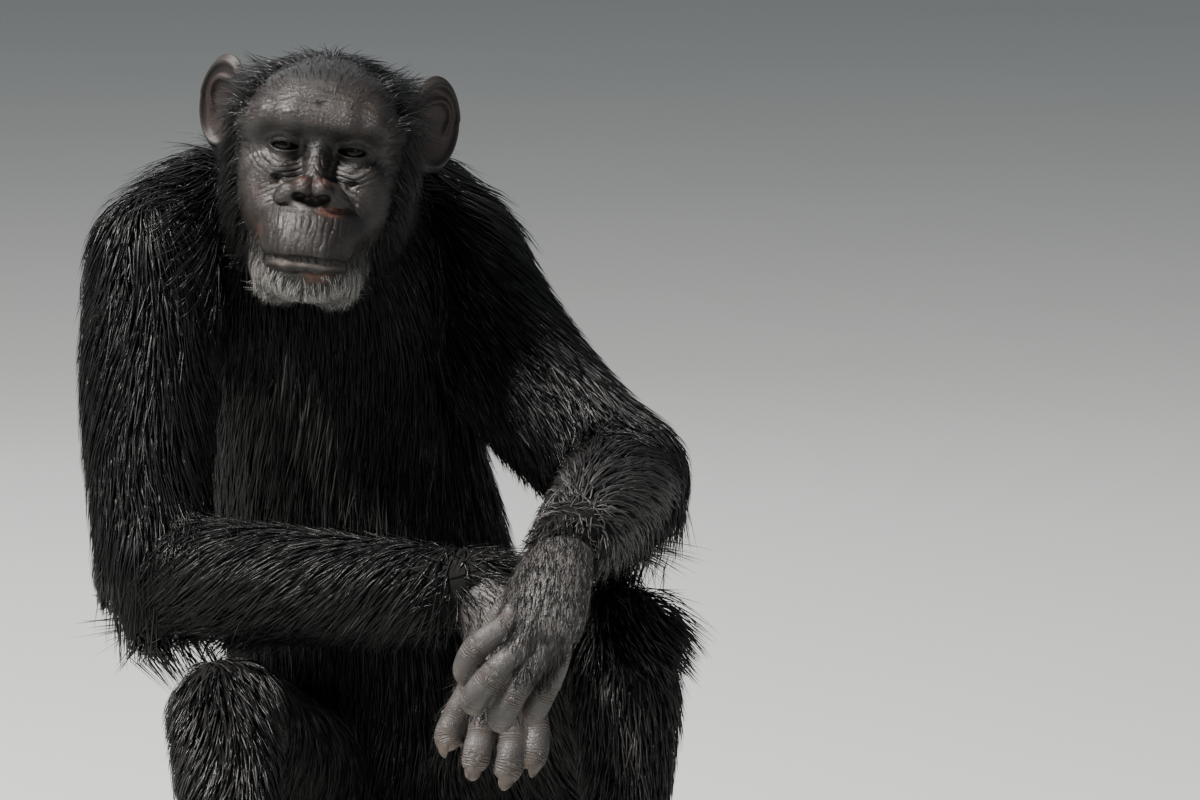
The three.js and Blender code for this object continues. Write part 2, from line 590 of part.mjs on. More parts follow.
// Length and width of the locks on the body, the arms, the forearms and the legs.
const BODY_LOCK = { wide: 56, long: 126 };
const ARM_LOCK = { wide: 52, long: 120 };
const FOREARM_LOCK = { wide: 45, long: 106 };
const LEG_LOCK = { wide: 54, long: 118 };
const outwardOf = (u) => Math.cos(TAU * u);
const coats = {
  shoulders: coat(yoke, 30, {
    from: 0.12, to: 0.88, rows: 5, wide: 60, long: 126, start: 0.46, end: 0.82, hangs: true,
    lie: (u, v) => [3 * (v - 0.5), 0.8, -0.9],
  }, [[upperArmR, -20], [upperArmL, -20], [torso, -30]]),
  chest: [
    ...coat(torso, 31, {
      from: 0.46, to: 0.84, rows: 4, ...BODY_LOCK, start: 0.5, end: 1,
      lie: (u) => [outwardOf(u) * 0.25, 0.1, -1],
    }, [[upperArmR, 2], [upperArmL, 2], [yoke, -6]]),
    ...coat(torso, 32, {
      from: 0.6, to: 0.82, rows: 2, ...BODY_LOCK, lift: 8, start: 0.03, end: 0.47,
      lie: (u) => [outwardOf(u) * 0.3, -0.1, -1],
    }, [[upperArmR, 4], [upperArmL, 4], [forearmR, 4], [forearmL, 4]]),
  ],
  pelvis: coat(torso, 33, {
    from: 0.22, to: 0.36, rows: 2, ...BODY_LOCK, start: 0.48, end: 1.02, lie: () => [0, 0.1, -1],
  }, [[thighR, 3], [thighL, 3]]),
  upperArmR: coat(upperArmR, 51, {
    from: 0.16, to: 0.72, rows: 3, ...ARM_LOCK, lie: (u) => [outwardOf(u) * 0.1, 0, -1],
  }, [[torso, 0], [forearmR, 0], [yoke, -9]]),
  upperArmL: coat(upperArmL, 42, {
    from: 0.16, to: 0.7, rows: 3, ...ARM_LOCK, lie: () => [0.55, -0.35, -0.75],
  }, [[torso, 0], [forearmL, 0], [yoke, -9]]),
  forearmR: coat(forearmR, 43, {
    from: 0.28, to: 0.9, rows: 4, ...FOREARM_LOCK, hangs: true, lie: () => [-0.8, -0.05, -0.6],
  }, [[upperArmR, -6], [thighR, 0], [torso, 0]]),
  forearmL: coat(forearmL, 44, {
    from: 0.28, to: 0.9, rows: 4, ...FOREARM_LOCK, hangs: true, lie: () => [0.35, 0.75, -0.5],
  }, [[upperArmL, -6], [thighL, 0], [shinL, 0]]),
  thighR: coat(thighR, 45, {
    from: 0.4, to: 0.68, rows: 2, ...LEG_LOCK, hangs: true, lie: () => [-0.1, -0.3, -0.9],
  }, [[torso, 3], [forearmR, 3], [shinR, 2], [upperArmR, 3]]),
  thighL: coat(thighL, 46, {
    from: 0.4, to: 0.68, rows: 2, ...LEG_LOCK, hangs: true, lie: () => [0.2, -0.2, -0.9],
  }, [[torso, 3], [forearmL, 3], [shinL, 2]]),
  shinR: coat(shinR, 47, {
    from: 0.3, to: 0.3, rows: 1, ...LEG_LOCK, lie: () => [0, -0.2, -1],
  }, [[thighR, 2], [forearmR, 2]]),
  shinL: coat(shinL, 48, {
    from: 0.3, to: 0.3, rows: 1, ...LEG_LOCK, lie: () => [0, -0.1, -1],
  }, [[thighL, 2], [forearmL, 2]]),
};

const locks = (name, pad) => coats[name].map((l) => lock(l.path, l.wide, l.thick, pad));
const withDigits = ({ palm, digits }, pad) => join([palm, ...digits].map((form) => form.solid(pad)));
const above = block([-600, -800, WAIST + GAP / 2], [600, 500, 900]);
const below = block([-600, -800, -100], [600, 500, WAIST - GAP / 2]);
const underfloor = block([-600, -900, -200], [600, 500, 0]);

// Each part's solid, grown by pad where a neighbour is cut by it. The first in the list keep their shape.
const SIDES = [["right", -1], ["left", 1]];
const parts = {
  head: (pad) => {
    let skull = headBall(pad);
    if (!pad) {
      skull = skull.subtract(mouthSlit());
      for (const s of [-1, 1]) {
        skull = skull.subtract(nostril(s)).subtract(lidOpening(s)).subtract(eyeRoom(s));
      }
    }
    const hair = headCoat().map((l) => lock(l.path, l.wide, l.thick, pad));
    return join([turned(skull), ...hair]);
  },
  ...Object.fromEntries(SIDES.map(([side, s]) => [`eye_${side}`,
    (pad) => turned(ovoid([s * EYE.x, EYE.y, EYE.z], [1, 1, 1].map(() => EYE.radius + pad), 12, 8))])),
  ...Object.fromEntries(SIDES.map(([side, s]) => [`ear_${side}`, (pad) => turned(earSolid(s, pad))])),
  neck: (pad) => neck.solid(pad),
  shoulders: (pad) => join([yoke.solid(pad), ...locks("shoulders", pad)]),
  chest: (pad) => join([torso.solid(pad).intersect(above), ...locks("chest", pad)]),
  upper_arm_right: (pad) => join([upperArmR.solid(pad), ...locks("upperArmR", pad)]),
  upper_arm_left: (pad) => join([upperArmL.solid(pad), ...locks("upperArmL", pad)]),
  hand_left: (pad) => withDigits(handL, pad),
  hand_right: (pad) => withDigits(handR, pad),
  forearm_right: (pad) => join([forearmR.solid(pad), ...locks("forearmR", pad)]),
  forearm_left: (pad) => join([forearmL.solid(pad), ...locks("forearmL", pad)]),
  pelvis: (pad) => join([torso.solid(pad).intersect(below), ...locks("pelvis", pad)]),
  foot_right: (pad) => withDigits(footR, pad),
  foot_left: (pad) => withDigits(footL, pad),
  thigh_right: (pad) => join([thighR.solid(pad), ...locks("thighR", pad)]),
  thigh_left: (pad) => join([thighL.solid(pad), ...locks("thighL", pad)]),
  shin_right: (pad) => join([shinR.solid(pad), ...locks("shinR", pad)]),
  shin_left: (pad) => join([shinL.solid(pad), ...locks("shinL", pad)]),
};

const boxesMeet = (a, b) => [0, 1, 2].every((k) => a.min[k] <= b.max[k] && b.min[k] <= a.max[k]);

const skinColour = 0x3a2f2b;
const coatColour = 0x141211;
const looks = {
  coat: new THREE.MeshStandardMaterial({ color: coatColour, roughness: 0.55, metalness: 0 }),
  skin: new THREE.MeshStandardMaterial({ color: skinColour, roughness: 0.6, metalness: 0 }),
  eye: new THREE.MeshStandardMaterial({ color: 0x2a1408, roughness: 0.12, metalness: 0 }),
};
const lookOf = (name) => {
  if (name.startsWith("eye")) return looks.eye;
  return /^(head|ear|hand|foot)/.test(name) ? looks.skin : looks.coat;
};

const chimpanzee = new THREE.Group();
chimpanzee.name = "chimpanzee";
const kept = [];
for (const [name, make] of Object.entries(parts)) {
  let solid = make(0);
  for (const other of kept) {
    if (!boxesMeet(solid.boundingBox(), other.box)) continue;
    if (name.startsWith("eye") && other.name === "head") continue;
    solid = solid.subtract(other.padded ??= parts[other.name](GAP));
  }
  solid = largest(solid.subtract(underfloor));
  const { vertProperties, triVerts } = solid.getMesh();
  const geometry = new THREE.BufferGeometry();
  geometry.setAttribute("position", new THREE.BufferAttribute(vertProperties.slice(), 3));
  geometry.setIndex(new THREE.BufferAttribute(triVerts.slice(), 1));
  const mesh = new THREE.Mesh(geometry, lookOf(name));
  mesh.name = name;
  chimpanzee.add(mesh);
  kept.push({ name, box: solid.boundingBox() });
}

export default chimpanzee;
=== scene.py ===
# %% [markdown]
# # A seated chimpanzee, dressed for a museum
# The imported solids are the frame: they give the pose and the size. This file puts skin, eyes, nails and a
# coat of hair over them. It works in metres, with +Z up and the animal facing -Y. The first cell loads the
# frame.

# %% The frame
import json
import math

import bmesh
import bpy
import numpy as np
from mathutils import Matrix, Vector
from mathutils.bvhtree import BVHTree

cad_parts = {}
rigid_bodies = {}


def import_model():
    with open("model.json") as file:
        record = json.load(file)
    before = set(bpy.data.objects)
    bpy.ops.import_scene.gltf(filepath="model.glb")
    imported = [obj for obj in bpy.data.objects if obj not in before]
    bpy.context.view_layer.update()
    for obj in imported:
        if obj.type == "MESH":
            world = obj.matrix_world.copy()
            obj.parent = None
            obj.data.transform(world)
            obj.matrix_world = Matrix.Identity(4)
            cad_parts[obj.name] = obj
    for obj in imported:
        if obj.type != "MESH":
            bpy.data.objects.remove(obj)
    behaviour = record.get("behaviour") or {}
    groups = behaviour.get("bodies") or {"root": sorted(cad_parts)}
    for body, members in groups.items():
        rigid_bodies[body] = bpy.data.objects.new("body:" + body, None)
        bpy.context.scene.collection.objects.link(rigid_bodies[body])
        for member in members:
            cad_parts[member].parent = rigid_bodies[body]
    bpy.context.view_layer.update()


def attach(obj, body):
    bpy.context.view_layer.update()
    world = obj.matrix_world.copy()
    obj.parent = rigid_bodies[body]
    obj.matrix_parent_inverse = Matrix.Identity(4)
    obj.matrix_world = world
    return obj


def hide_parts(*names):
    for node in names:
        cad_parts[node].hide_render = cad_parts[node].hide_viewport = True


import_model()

MM = 0.001
TAU = 2 * math.pi

# %% [markdown]
# ## Camera and light
# The photo was taken from far away with a long lens, a little above the animal's face, so the camera stands
# 6.5 m off and looks 7 degrees down. Black hair shows its form only through its gloss: one strong lamp
# from the upper left gives the streaks of light, a weak, broad one from the right keeps the shaded side
# readable, and one from behind draws the rim of the coat.

# %% Camera, lamps and floor
TARGET = (0.168, -0.1, 0.437)
DISTANCE = 6.5
LOOKS_DOWN = math.radians(7)
LENS, SENSOR = 243.75, 36
LAMPS = {  # place, size, power and tint
    "key": ((-2.3, -1.5, 4.3), 0.7, 620, (1.0, 0.97, 0.93)),
    "fill": ((2.6, -3.4, 1.6), 2.4, 17, (0.84, 0.91, 1.0)),
    "rim": ((-0.6, 2.6, 1.9), 1.6, 14, (0.9, 0.95, 1.0)),
}
LAMPS_AIM = (0, -0.15, 0.42)
WORLD = {"Color": (0.72, 0.77, 0.83, 1), "Strength": 0.23}


def aimed(thing, place, target):
    """Puts an object at a place, with its -Z pointing at the target."""
    way = Vector(target) - Vector(place)
    thing.location = place
    thing.rotation_euler = way.to_track_quat("-Z", "Y").to_euler()
    bpy.context.scene.collection.objects.link(thing)
    return thing


camera_data = bpy.data.cameras.new("camera")
camera_data.lens = LENS
camera_data.sensor_width = SENSOR
camera_data.clip_end = 200
camera_place = (
    TARGET[0],
    TARGET[1] - DISTANCE * math.cos(LOOKS_DOWN),
    TARGET[2] + DISTANCE * math.sin(LOOKS_DOWN),
)
bpy.context.scene.camera = aimed(bpy.data.objects.new("camera", camera_data), camera_place, TARGET)

for lamp_name, (place, size, power, tint) in LAMPS.items():
    lamp = bpy.data.lights.new(lamp_name, "AREA")
    lamp.size, lamp.energy, lamp.color = size, power, tint
    aimed(bpy.data.objects.new(lamp_name, lamp), place, LAMPS_AIM)

world = bpy.data.worlds.new("studio")
bpy.context.scene.world = world
world.use_nodes = True
for socket, value in WORLD.items():
    world.node_tree.nodes["Background"].inputs[socket].default_value = value
print("camera at", [round(c, 3) for c in camera_place], "lamps:", list(LAMPS))

# %% [markdown]
# ## Arithmetic with shader sockets
# A material is a sum of patterns. Linking Math nodes by hand hides that sum, so this small class wraps an
# output socket and lets Python's operators add the nodes. `Shader.node` makes any other node.

# %% Shader helpers
class Signal:
    """An output socket that adds Math nodes when it is used in a sum."""

    def __init__(self, shader, socket):
        self.shader = shader
        self.socket = socket

    def _math(self, operation, *values):
        return self.shader.node("ShaderNodeMath", {"operation": operation}, dict(enumerate(values)))

    def __add__(self, other):
        return self._math("ADD", self, other)

    def __radd__(self, other):
        return self._math("ADD", other, self)

    def __sub__(self, other):
        return self._math("SUBTRACT", self, other)

    def __rsub__(self, other):
        return self._math("SUBTRACT", other, self)

    def __mul__(self, other):
        return self._math("MULTIPLY", self, other)

    def __rmul__(self, other):
        return self._math("MULTIPLY", other, self)

    def wave(self):
        return self._math("SINE", self)

    def clamped(self):
        return self._math("MINIMUM", self._math("MAXIMUM", self, 0.0), 1.0)

    def between(self, low, high):
        """0 below low, 1 above high and smooth between them."""
        settings = {"interpolation_type": "SMOOTHSTEP"}
        inputs = {"Value": self, "From Min": low, "From Max": high}
        return self.shader.node("ShaderNodeMapRange", settings, inputs)


class Shader:
    """A material with one Principled surface."""

    def __init__(self, name, **constants):
        self.material = bpy.data.materials.new(name)
        self.material.use_nodes = True
        self.tree = self.material.node_tree
        self.surface = self.tree.nodes["Principled BSDF"]
        for socket, value in constants.items():
            self.surface.inputs[socket.replace("_", " ")].default_value = value

    def node(self, kind, settings=None, inputs=None, output=0):
        """Adds a node. Its settings come first; a ramp's are its stops."""
        made = self.tree.nodes.new(kind)
        for key, value in (settings or {}).items():
            if key == "stops":
                ramp = made.color_ramp
                while len(ramp.elements) < len(value):
                    ramp.elements.new(0.5)
                for element, (position, colour) in zip(ramp.elements, value):
                    element.position = position
                    element.color = (*colour, 1)
            else:
                setattr(made, key, value)
        for key, value in (inputs or {}).items():
            if isinstance(value, Signal):
                self.tree.links.new(value.socket, made.inputs[key])
            else:
                made.inputs[key].default_value = value
        return Signal(self, made.outputs[output])

    def attribute(self, name):
        return self.node("ShaderNodeAttribute", {"attribute_name": name}, output="Fac")

    def place(self):
        return self.node("ShaderNodeTexCoord", output="Object")

    def noise(self, vector, scale, detail=2.0, roughness=0.5):
        inputs = {"Vector": vector, "Scale": scale, "Detail": detail, "Roughness": roughness}
        return self.node("ShaderNodeTexNoise", inputs=inputs)

    def scaled(self, vector, scale):
        return self.node("ShaderNodeMapping", inputs={"Vector": vector, "Scale": scale})

    def mixed(self, first, second, share):
        inputs = {0: share}
        for index, colour in ((6, first), (7, second)):
            inputs[index] = colour if isinstance(colour, Signal) else (*colour, 1)
        return self.node("ShaderNodeMix", {"data_type": "RGBA"}, inputs, output=2)

    def feeds(self, socket, signal):
        self.tree.links.new(signal.socket, self.surface.inputs[socket])

    def bumped(self, height, distance, strength=1.0):
        inputs = {"Height": height, "Distance": distance, "Strength": strength}
        self.feeds("Normal", self.node("ShaderNodeBump", inputs=inputs))


# %% The floor
def meshed(shape, name):
    """Turns a bmesh into a mesh, and frees it."""
    mesh = bpy.data.meshes.new(name)
    shape.to_mesh(mesh)
    shape.free()
    return mesh


def moved(verts, points):
    for vert, point in zip(verts, points):
        vert.co = point


def shown(name, mesh):
    made = bpy.data.objects.new(name, mesh)
    bpy.context.scene.collection.objects.link(made)
    return made


FLOOR_HALF = 60
floor_look = Shader("pale floor", Roughness=0.85)
floor_look.feeds("Base Color", floor_look.mixed(
    (0.62, 0.64, 0.62), (0.66, 0.68, 0.66), floor_look.noise(floor_look.place(), 1.4)))
shape = bmesh.new()
bmesh.ops.create_grid(shape, x_segments=1, y_segments=1, size=FLOOR_HALF)
floor = shown("floor", meshed(shape, "floor"))
floor.data.materials.append(floor_look.material)
print("floor ready")

# %% [markdown]
# ## The body's forms
# Every part of the body is drawn along a curve from joint to joint, with a half width and a half depth at
# each station. The same forms, from the same joints, made the solids. The render needs them again to make a
# smooth skin under the coat, and to know which part of the body a hair grows on.

# %% Forms along curves
def unit(v):
    return v / np.maximum(np.linalg.norm(v, axis=-1, keepdims=True), 1e-12)


def mix(a, b, t):
    return a + (b - a) * t


def rise(low, high, x):
    """0 below low, 1 above high and smooth between them."""
    t = np.clip((x - low) / (high - low), 0, 1)
    return t * t * (3 - 2 * t)


class Form:
    """A rounded form along a curve through stations of x, y, z, half width and half depth in mm."""

    def __init__(self, stations, front, caps):
        rows = np.array(stations, float) * MM
        self.points = rows[:, :3]
        self.sizes = rows[:, 3:]
        self.front = unit(np.array(front, float))
        self.caps = [cap * MM for cap in caps]
        steps = np.diff(self.at(np.linspace(0, 1, 201)), axis=0)
        self.length = np.linalg.norm(steps, axis=1).sum()

    def _span(self, t):
        last = len(self.points) - 1
        t = np.clip(t, 0, 1) * last
        i = np.minimum(last - 1, t.astype(int))
        return i, (t - i)[:, None]

    def at(self, t):
        """The curve's point, smooth through the stations whatever their spacing."""
        i, k = self._span(t)
        p = self.points
        ends = np.vstack([2 * p[0] - p[1], p, 2 * p[-1] - p[-2]])
        a, b, c, d = (ends[i + j] for j in range(4))
        ab, bc, cd = (np.linalg.norm(v, axis=1, keepdims=True) for v in (b - a, c - b, d - c))
        into = ((b - a) / ab - (c - a) / (ab + bc) + (c - b) / bc) * bc
        away = ((c - b) / bc - (d - b) / (bc + cd) + (d - c) / cd) * bc
        return b + k * (into + k * (3 * (c - b) - 2 * into - away + k * (2 * (b - c) + into + away)))

    def size(self, t):
        i, k = self._span(t)
        last = len(self.sizes) - 1
        a, b, c, d = (self.sizes[np.clip(i + j, 0, last)] for j in (-1, 0, 1, 2))
        return b + 0.5 * k * (c - a + k * (2 * a - 5 * b + 4 * c - d + k * (3 * (b - c) + d - a)))

    def frame(self, t):
        tangent = unit(self.at(np.minimum(t + 1e-4, 1)) - self.at(np.maximum(t - 1e-4, 0)))
        side = unit(np.cross(tangent, self.front))
        return self.at(t), tangent, side, np.cross(side, tangent), self.size(t)

    def roundness(self, t):
        def part(distance, cap):
            return np.sqrt(np.maximum(0, 1 - (1 - np.minimum(1, distance / cap)) ** 2))
        return part(t * self.length, self.caps[0]) * part((1 - t) * self.length, self.caps[1])

    def point(self, turn, t, pad):
        at, tangent, side, front, size = self.frame(t)
        r = self.roundness(t)
        grown = pad * np.minimum(1, 3 * r)
        across = np.cos(TAU * turn) * (size[:, 0] * r + grown)
        ahead = np.sin(TAU * turn) * (size[:, 1] * r + grown)
        ends = np.where(t < 1e-6, -pad, np.where(t > 1 - 1e-6, pad, 0))
        return at + side * across[:, None] + front * ahead[:, None] + tangent * ends[:, None]

    def find(self, p, stations=26):
        """How deep each point lies (below 0 inside), and its place along and round the form."""
        t = np.linspace(0, 1, stations)
        at, tangent, side, front, size = self.frame(t)
        off = p[:, None, :] - at
        reach = np.linalg.norm(off, axis=2)
        x = np.einsum("nij,ij->ni", off, side)
        y = np.einsum("nij,ij->ni", off, front)
        across = np.hypot(x / size[:, 0], y / size[:, 1])
        widest = size.max(axis=1)
        radius = np.where(across > 0.05, np.minimum(reach / np.maximum(across, 1e-6), widest), widest)
        depth = reach - radius
        best = depth.argmin(axis=1)
        row = np.arange(len(p))
        along = np.einsum("ni,ni->n", off[row, best], tangent[best])
        place = np.clip(t[best] + along / self.length, 0, 1)
        turn = np.arctan2(y[row, best] / size[best, 1], x[row, best] / size[best, 0]) / TAU % 1
        return depth[row, best], place, turn


def limb(start, end, sizes, front, caps, bow):
    """A form between two named joints; sizes are [share of the way, half width, half depth]."""
    a, b, bow = (np.array(v, float) for v in (JOINT[start], JOINT[end], bow))
    stations = [[*(mix(a, b, t) + bow * 4 * t * (1 - t)), wide, deep] for t, wide, deep in sizes]
    return Form(stations, front, caps)


# %% [markdown]
# ## Joints and sizes
# The joints below are the pose: both knees drawn up, the right forearm across the lap and the left hand
# hanging over the right one. A digit is a chain of four or five joints.

# %% Pose and forms of the body
JOINT = {
    "shoulderR": (-186, -92, 560), "elbowR": (-184, -196, 312), "wristR": (100, -286, 314),
    "shoulderL": (43, 8, 549), "elbowL": (191, -128, 377), "wristL": (137, -372, 350),
    "hipR": (-66, -18, 98), "kneeR": (-126, -262, 214), "ankleR": (-112, -420, 60),
    "hipL": (68, -18, 100), "kneeL": (186, -236, 268), "ankleL": (180, -336, 60),
}
UPPER_ARM = [
    [-0.2, 40, 40], [0, 56, 56], [0.25, 57, 56], [0.55, 54, 53], [0.85, 49, 48], [1.02, 46, 46],
    [1.16, 34, 36],
]
FOREARM = [
    [-0.15, 34, 34], [0, 44, 44], [0.2, 48, 46], [0.45, 45, 43], [0.7, 40, 38], [0.9, 36, 32],
    [1.06, 31, 26],
]
THIGH = [
    [-0.2, 52, 52], [0, 72, 70], [0.3, 70, 68], [0.6, 60, 60], [0.85, 50, 52], [1, 46, 47],
    [1.13, 32, 34],
]
SHIN = [
    [-0.1, 34, 34], [0.04, 44, 45], [0.25, 46, 50], [0.5, 40, 42], [0.75, 31, 33], [0.92, 27, 30],
    [1.05, 25, 30],
]
FATTER = [[t, wide + 3 + 7 * t * t, deep + 3] for t, wide, deep in UPPER_ARM]
BODY = {
    "torso": Form([
        [0, 6, -30, 80, 62], [0, 6, 14, 112, 90], [0, 10, 76, 130, 110], [-4, 20, 150, 130, 114],
        [-14, 26, 230, 124, 112], [-28, 20, 310, 118, 108], [-42, 4, 392, 110, 104],
        [-56, -14, 470, 110, 102], [-62, -22, 540, 110, 92], [-62, -26, 604, 76, 66],
    ], (0.16, -1, 0), (40, 42)),
    "yoke": Form([
        [-206, -98, 550, 40, 36], [-166, -74, 564, 62, 50], [-112, -36, 572, 70, 56],
        [-58, -10, 574, 72, 60], [-6, 6, 570, 70, 56], [34, 14, 556, 60, 50], [66, 20, 542, 38, 32],
    ], (0, -1, 0), (30, 30)),
    "neck": Form([
        [-64, -2, 556, 70, 58], [-61, -32, 594, 70, 62], [-56, -64, 622, 62, 58], [-52, -88, 638, 50, 48],
    ], (0, -0.7, -0.7), (50, 50)),
    "upper_arm_right": limb("shoulderR", "elbowR", UPPER_ARM, (-0.3, -1, 0), (46, 40), (-6, 4, 0)),
    "upper_arm_left": limb("shoulderL", "elbowL", FATTER, (-0.6, -1, -0.6), (46, 40), (-14, 0, -8)),
    "forearm_right": limb("elbowR", "wristR", FOREARM, (0, -1, 0), (30, 18), (0, -4, -4)),
    "forearm_left": limb("elbowL", "wristL", FOREARM, (0, -0.4, 1), (30, 18), (3, 0, 5)),
    "thigh_right": limb("hipR", "kneeR", THIGH, (0, -0.3, 1), (50, 40), (-8, 0, -4)),
    "thigh_left": limb("hipL", "kneeL", THIGH, (0, -0.3, 1), (50, 40), (10, 0, 0)),
    "shin_right": limb("kneeR", "ankleR", SHIN, (0, -0.7, 0.7), (34, 22), (0, 8, -6)),
    "shin_left": limb("kneeL", "ankleL", SHIN, (0, -1, 0.4), (34, 22), (6, 10, 0)),
}


def digit(joints, radius):
    """A finger or toe, a little thinner at its tip."""
    radii = [0.86 * radius] * 2 + [radius] * (len(joints) - 3) + [0.8 * radius]
    stations = [[*joint, r, 0.94 * r] for joint, r in zip(joints, radii)]
    return Form(stations, (0.2, -1, 0.3), (0.9 * radius, 0.9 * radius))


HANDS = {
    "left": [
        Form([[137, -366, 353, 28, 21], [133, -394, 341, 31, 20], [127, -418, 322, 35, 18],
              [122, -432, 304, 36, 16], [119, -438, 291, 32, 13]], (-0.35, -0.8, 0.5), (16, 14)),
        digit([[104, -424, 319], [98, -434, 307], [73, -442, 288], [66, -432, 270], [70, -413, 262]], 10.6),
        digit([[117, -434, 308], [112, -442, 295], [84, -452, 267], [72, -444, 250], [75, -424, 242]], 10.9),
        digit([[128, -436, 300], [123, -442, 287], [101, -450, 253], [92, -440, 235], [95, -421, 229]], 10.7),
        digit([[139, -428, 296], [138, -431, 283], [125, -434, 253], [118, -427, 238], [117, -412, 232]],
              9.8),
        digit([[110, -394, 330], [98, -394, 316], [88, -390, 298], [84, -382, 286]], 10.5),
    ],
    "right": [
        Form([[70, -284, 312, 27, 20], [86, -298, 300, 31, 20], [96, -322, 276, 35, 18],
              [93, -346, 254, 36, 16], [89, -357, 242, 32, 13]], (-0.3, -0.9, 0.5), (16, 14)),
        digit([[110, -338, 258], [114, -352, 243], [119, -371, 216], [117, -383, 195], [112, -385, 186]],
              10.4),
        digit([[98, -346, 250], [99, -360, 235], [101, -379, 207], [97, -389, 187], [92, -389, 178]], 11.6),
        digit([[84, -350, 248], [81, -362, 235], [76, -381, 211], [72, -391, 194], [71, -389, 186]], 11.4),
        digit([[70, -346, 252], [64, -358, 240], [56, -378, 224], [51, -390, 210], [54, -394, 202]], 10.4),
        digit([[107, -308, 282], [120, -318, 268], [128, -330, 252], [131, -342, 238]], 10.4),
    ],
}


def foot(ankle, side, turn):
    """A flat sole with four toes and a great toe that stands off on the inner side."""
    heading = math.radians(turn)
    ahead = np.array([math.sin(heading), -math.cos(heading), 0])
    inward = side * np.array([-math.cos(heading), -math.sin(heading), 0])
    ground = np.array([ankle[0], ankle[1], 0])

    def at(forward, inner, up):
        return [*(ground + ahead * forward + inward * inner)[:2], up]

    sole = Form([
        [*at(-50, 0, 26), 20, 22], [*at(-34, 0, 32), 27, 32], [*at(0, 0, 38), 31, 40],
        [*at(36, 2, 27), 35, 30], [*at(70, 0, 18), 40, 21], [*at(98, -3, 13), 41, 15],
        [*at(112, -4, 12), 36, 12],
    ], (0, 0, 1), (20, 14))
    toes = []
    for inner, root, tip, radius in ((22, 104, 172, 11.5), (4, 108, 178, 11.5), (-15, 104, 168, 11),
                                     (-32, 94, 150, 10)):
        toes.append(digit([
            at(root - 18, inner, 15), at(root, inner, 15), at(mix(root, tip, 0.5), inner, 21),
            at(mix(root, tip, 0.85), inner, 14), at(tip, inner, 9)], radius))
    toes.append(digit([at(30, 18, 18), at(54, 40, 17), at(84, 56, 18), at(112, 64, 14), at(124, 66, 12)], 13))
    return [sole, *toes]


FEET = {"right": foot(JOINT["ankleR"], -1, -14), "left": foot(JOINT["ankleL"], 1, 12)}
BODY_NODES = ["neck", "shoulders", "chest", "pelvis", *list(BODY)[3:]]
print("forms:", len(BODY), "of the body,", sum(map(len, (*HANDS.values(), *FEET.values()))), "of hands, feet")

# %% [markdown]
# ## The skin of body, hands and feet
# Under the coat the skin is one smooth surface. Each form starts as a ball whose points move out to the
# form. A voxel remesh then fuses the balls into one skin, and a few rounds of smoothing soften the creases.
# The hands touch each other, so they are fused one by one with a finer voxel, or the fingers would grow
# together. Where hair grows, the skin lies inside the solids by the depth of the coat.

# %% Skin from fused forms
COAT_DEPTH = 6 * MM
BODY_VOXEL = 7 * MM
FOOT_VOXEL = 3.4 * MM
HAND_VOXEL = 1.7 * MM
SKIN_FLOOR_GAP = 0.4 * MM


def fused(name, forms, pad, voxel, rounds):
    """One smooth closed mesh round several forms, grown by a pad."""
    shape = bmesh.new()
    for form in forms:
        made = bmesh.ops.create_uvsphere(shape, u_segments=40, v_segments=32, radius=1)["verts"]
        co = np.array([v.co for v in made])
        v = np.arccos(np.clip(-co[:, 2], -1, 1)) / math.pi
        spaced = mix(v, 0.5 - 0.5 * np.cos(math.pi * v), 0.75)
        moved(made, form.point(np.arctan2(co[:, 1], co[:, 0]) / TAU, spaced, pad))
    rough = shown(name, meshed(shape, name))
    remesh = rough.modifiers.new("fuse", "REMESH")
    remesh.mode = "VOXEL"
    remesh.voxel_size = voxel
    smooth = rough.modifiers.new("soften", "SMOOTH")
    smooth.factor = 0.5
    smooth.iterations = rounds
    graph = bpy.context.evaluated_depsgraph_get()
    result = bpy.data.meshes.new_from_object(rough.evaluated_get(graph))
    bpy.data.objects.remove(rough)
    for vert in result.vertices:
        vert.co.z = max(vert.co.z, SKIN_FLOOR_GAP)
    return result


def piece(name, mesh, look, nodes):
    """Shows a finished mesh as a piece that rides on the body and stands for its nodes."""
    mesh.name = name
    mesh.materials.clear()
    mesh.materials.append(look)
    mesh.polygons.foreach_set("use_smooth", np.ones(len(mesh.polygons), bool))
    made = shown(name, mesh)
    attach(made, "root")
    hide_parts(*nodes)


def corners(mesh):
    """A mesh's points, its triangles and its points' normals as arrays."""
    co = np.zeros(len(mesh.vertices) * 3)
    mesh.vertices.foreach_get("co", co)
    mesh.calc_loop_triangles()
    triangles = np.zeros(len(mesh.loop_triangles) * 3, int)
    mesh.loop_triangles.foreach_get("vertices", triangles)
    normals = np.zeros(len(mesh.vertices) * 3)
    mesh.vertex_normals.foreach_get("vector", normals)
    return co.reshape(-1, 3), triangles.reshape(-1, 3), normals.reshape(-1, 3)


def paint(mesh, name, values):
    """Keeps one number for each point, for the material to read."""
    layer = mesh.attributes.new(name, "FLOAT", "POINT")
    layer.data.foreach_set("value", np.asarray(values, np.float32))


trunk = fused("trunk", BODY.values(), -COAT_DEPTH, BODY_VOXEL, 4)
hands = {side: fused("hand", forms, 0.0, HAND_VOXEL, 3) for side, forms in HANDS.items()}
feet = {side: fused("foot", forms, 0.0, FOOT_VOXEL, 3) for side, forms in FEET.items()}
print("trunk", len(trunk.polygons), "faces, hand", len(hands["left"].polygons))

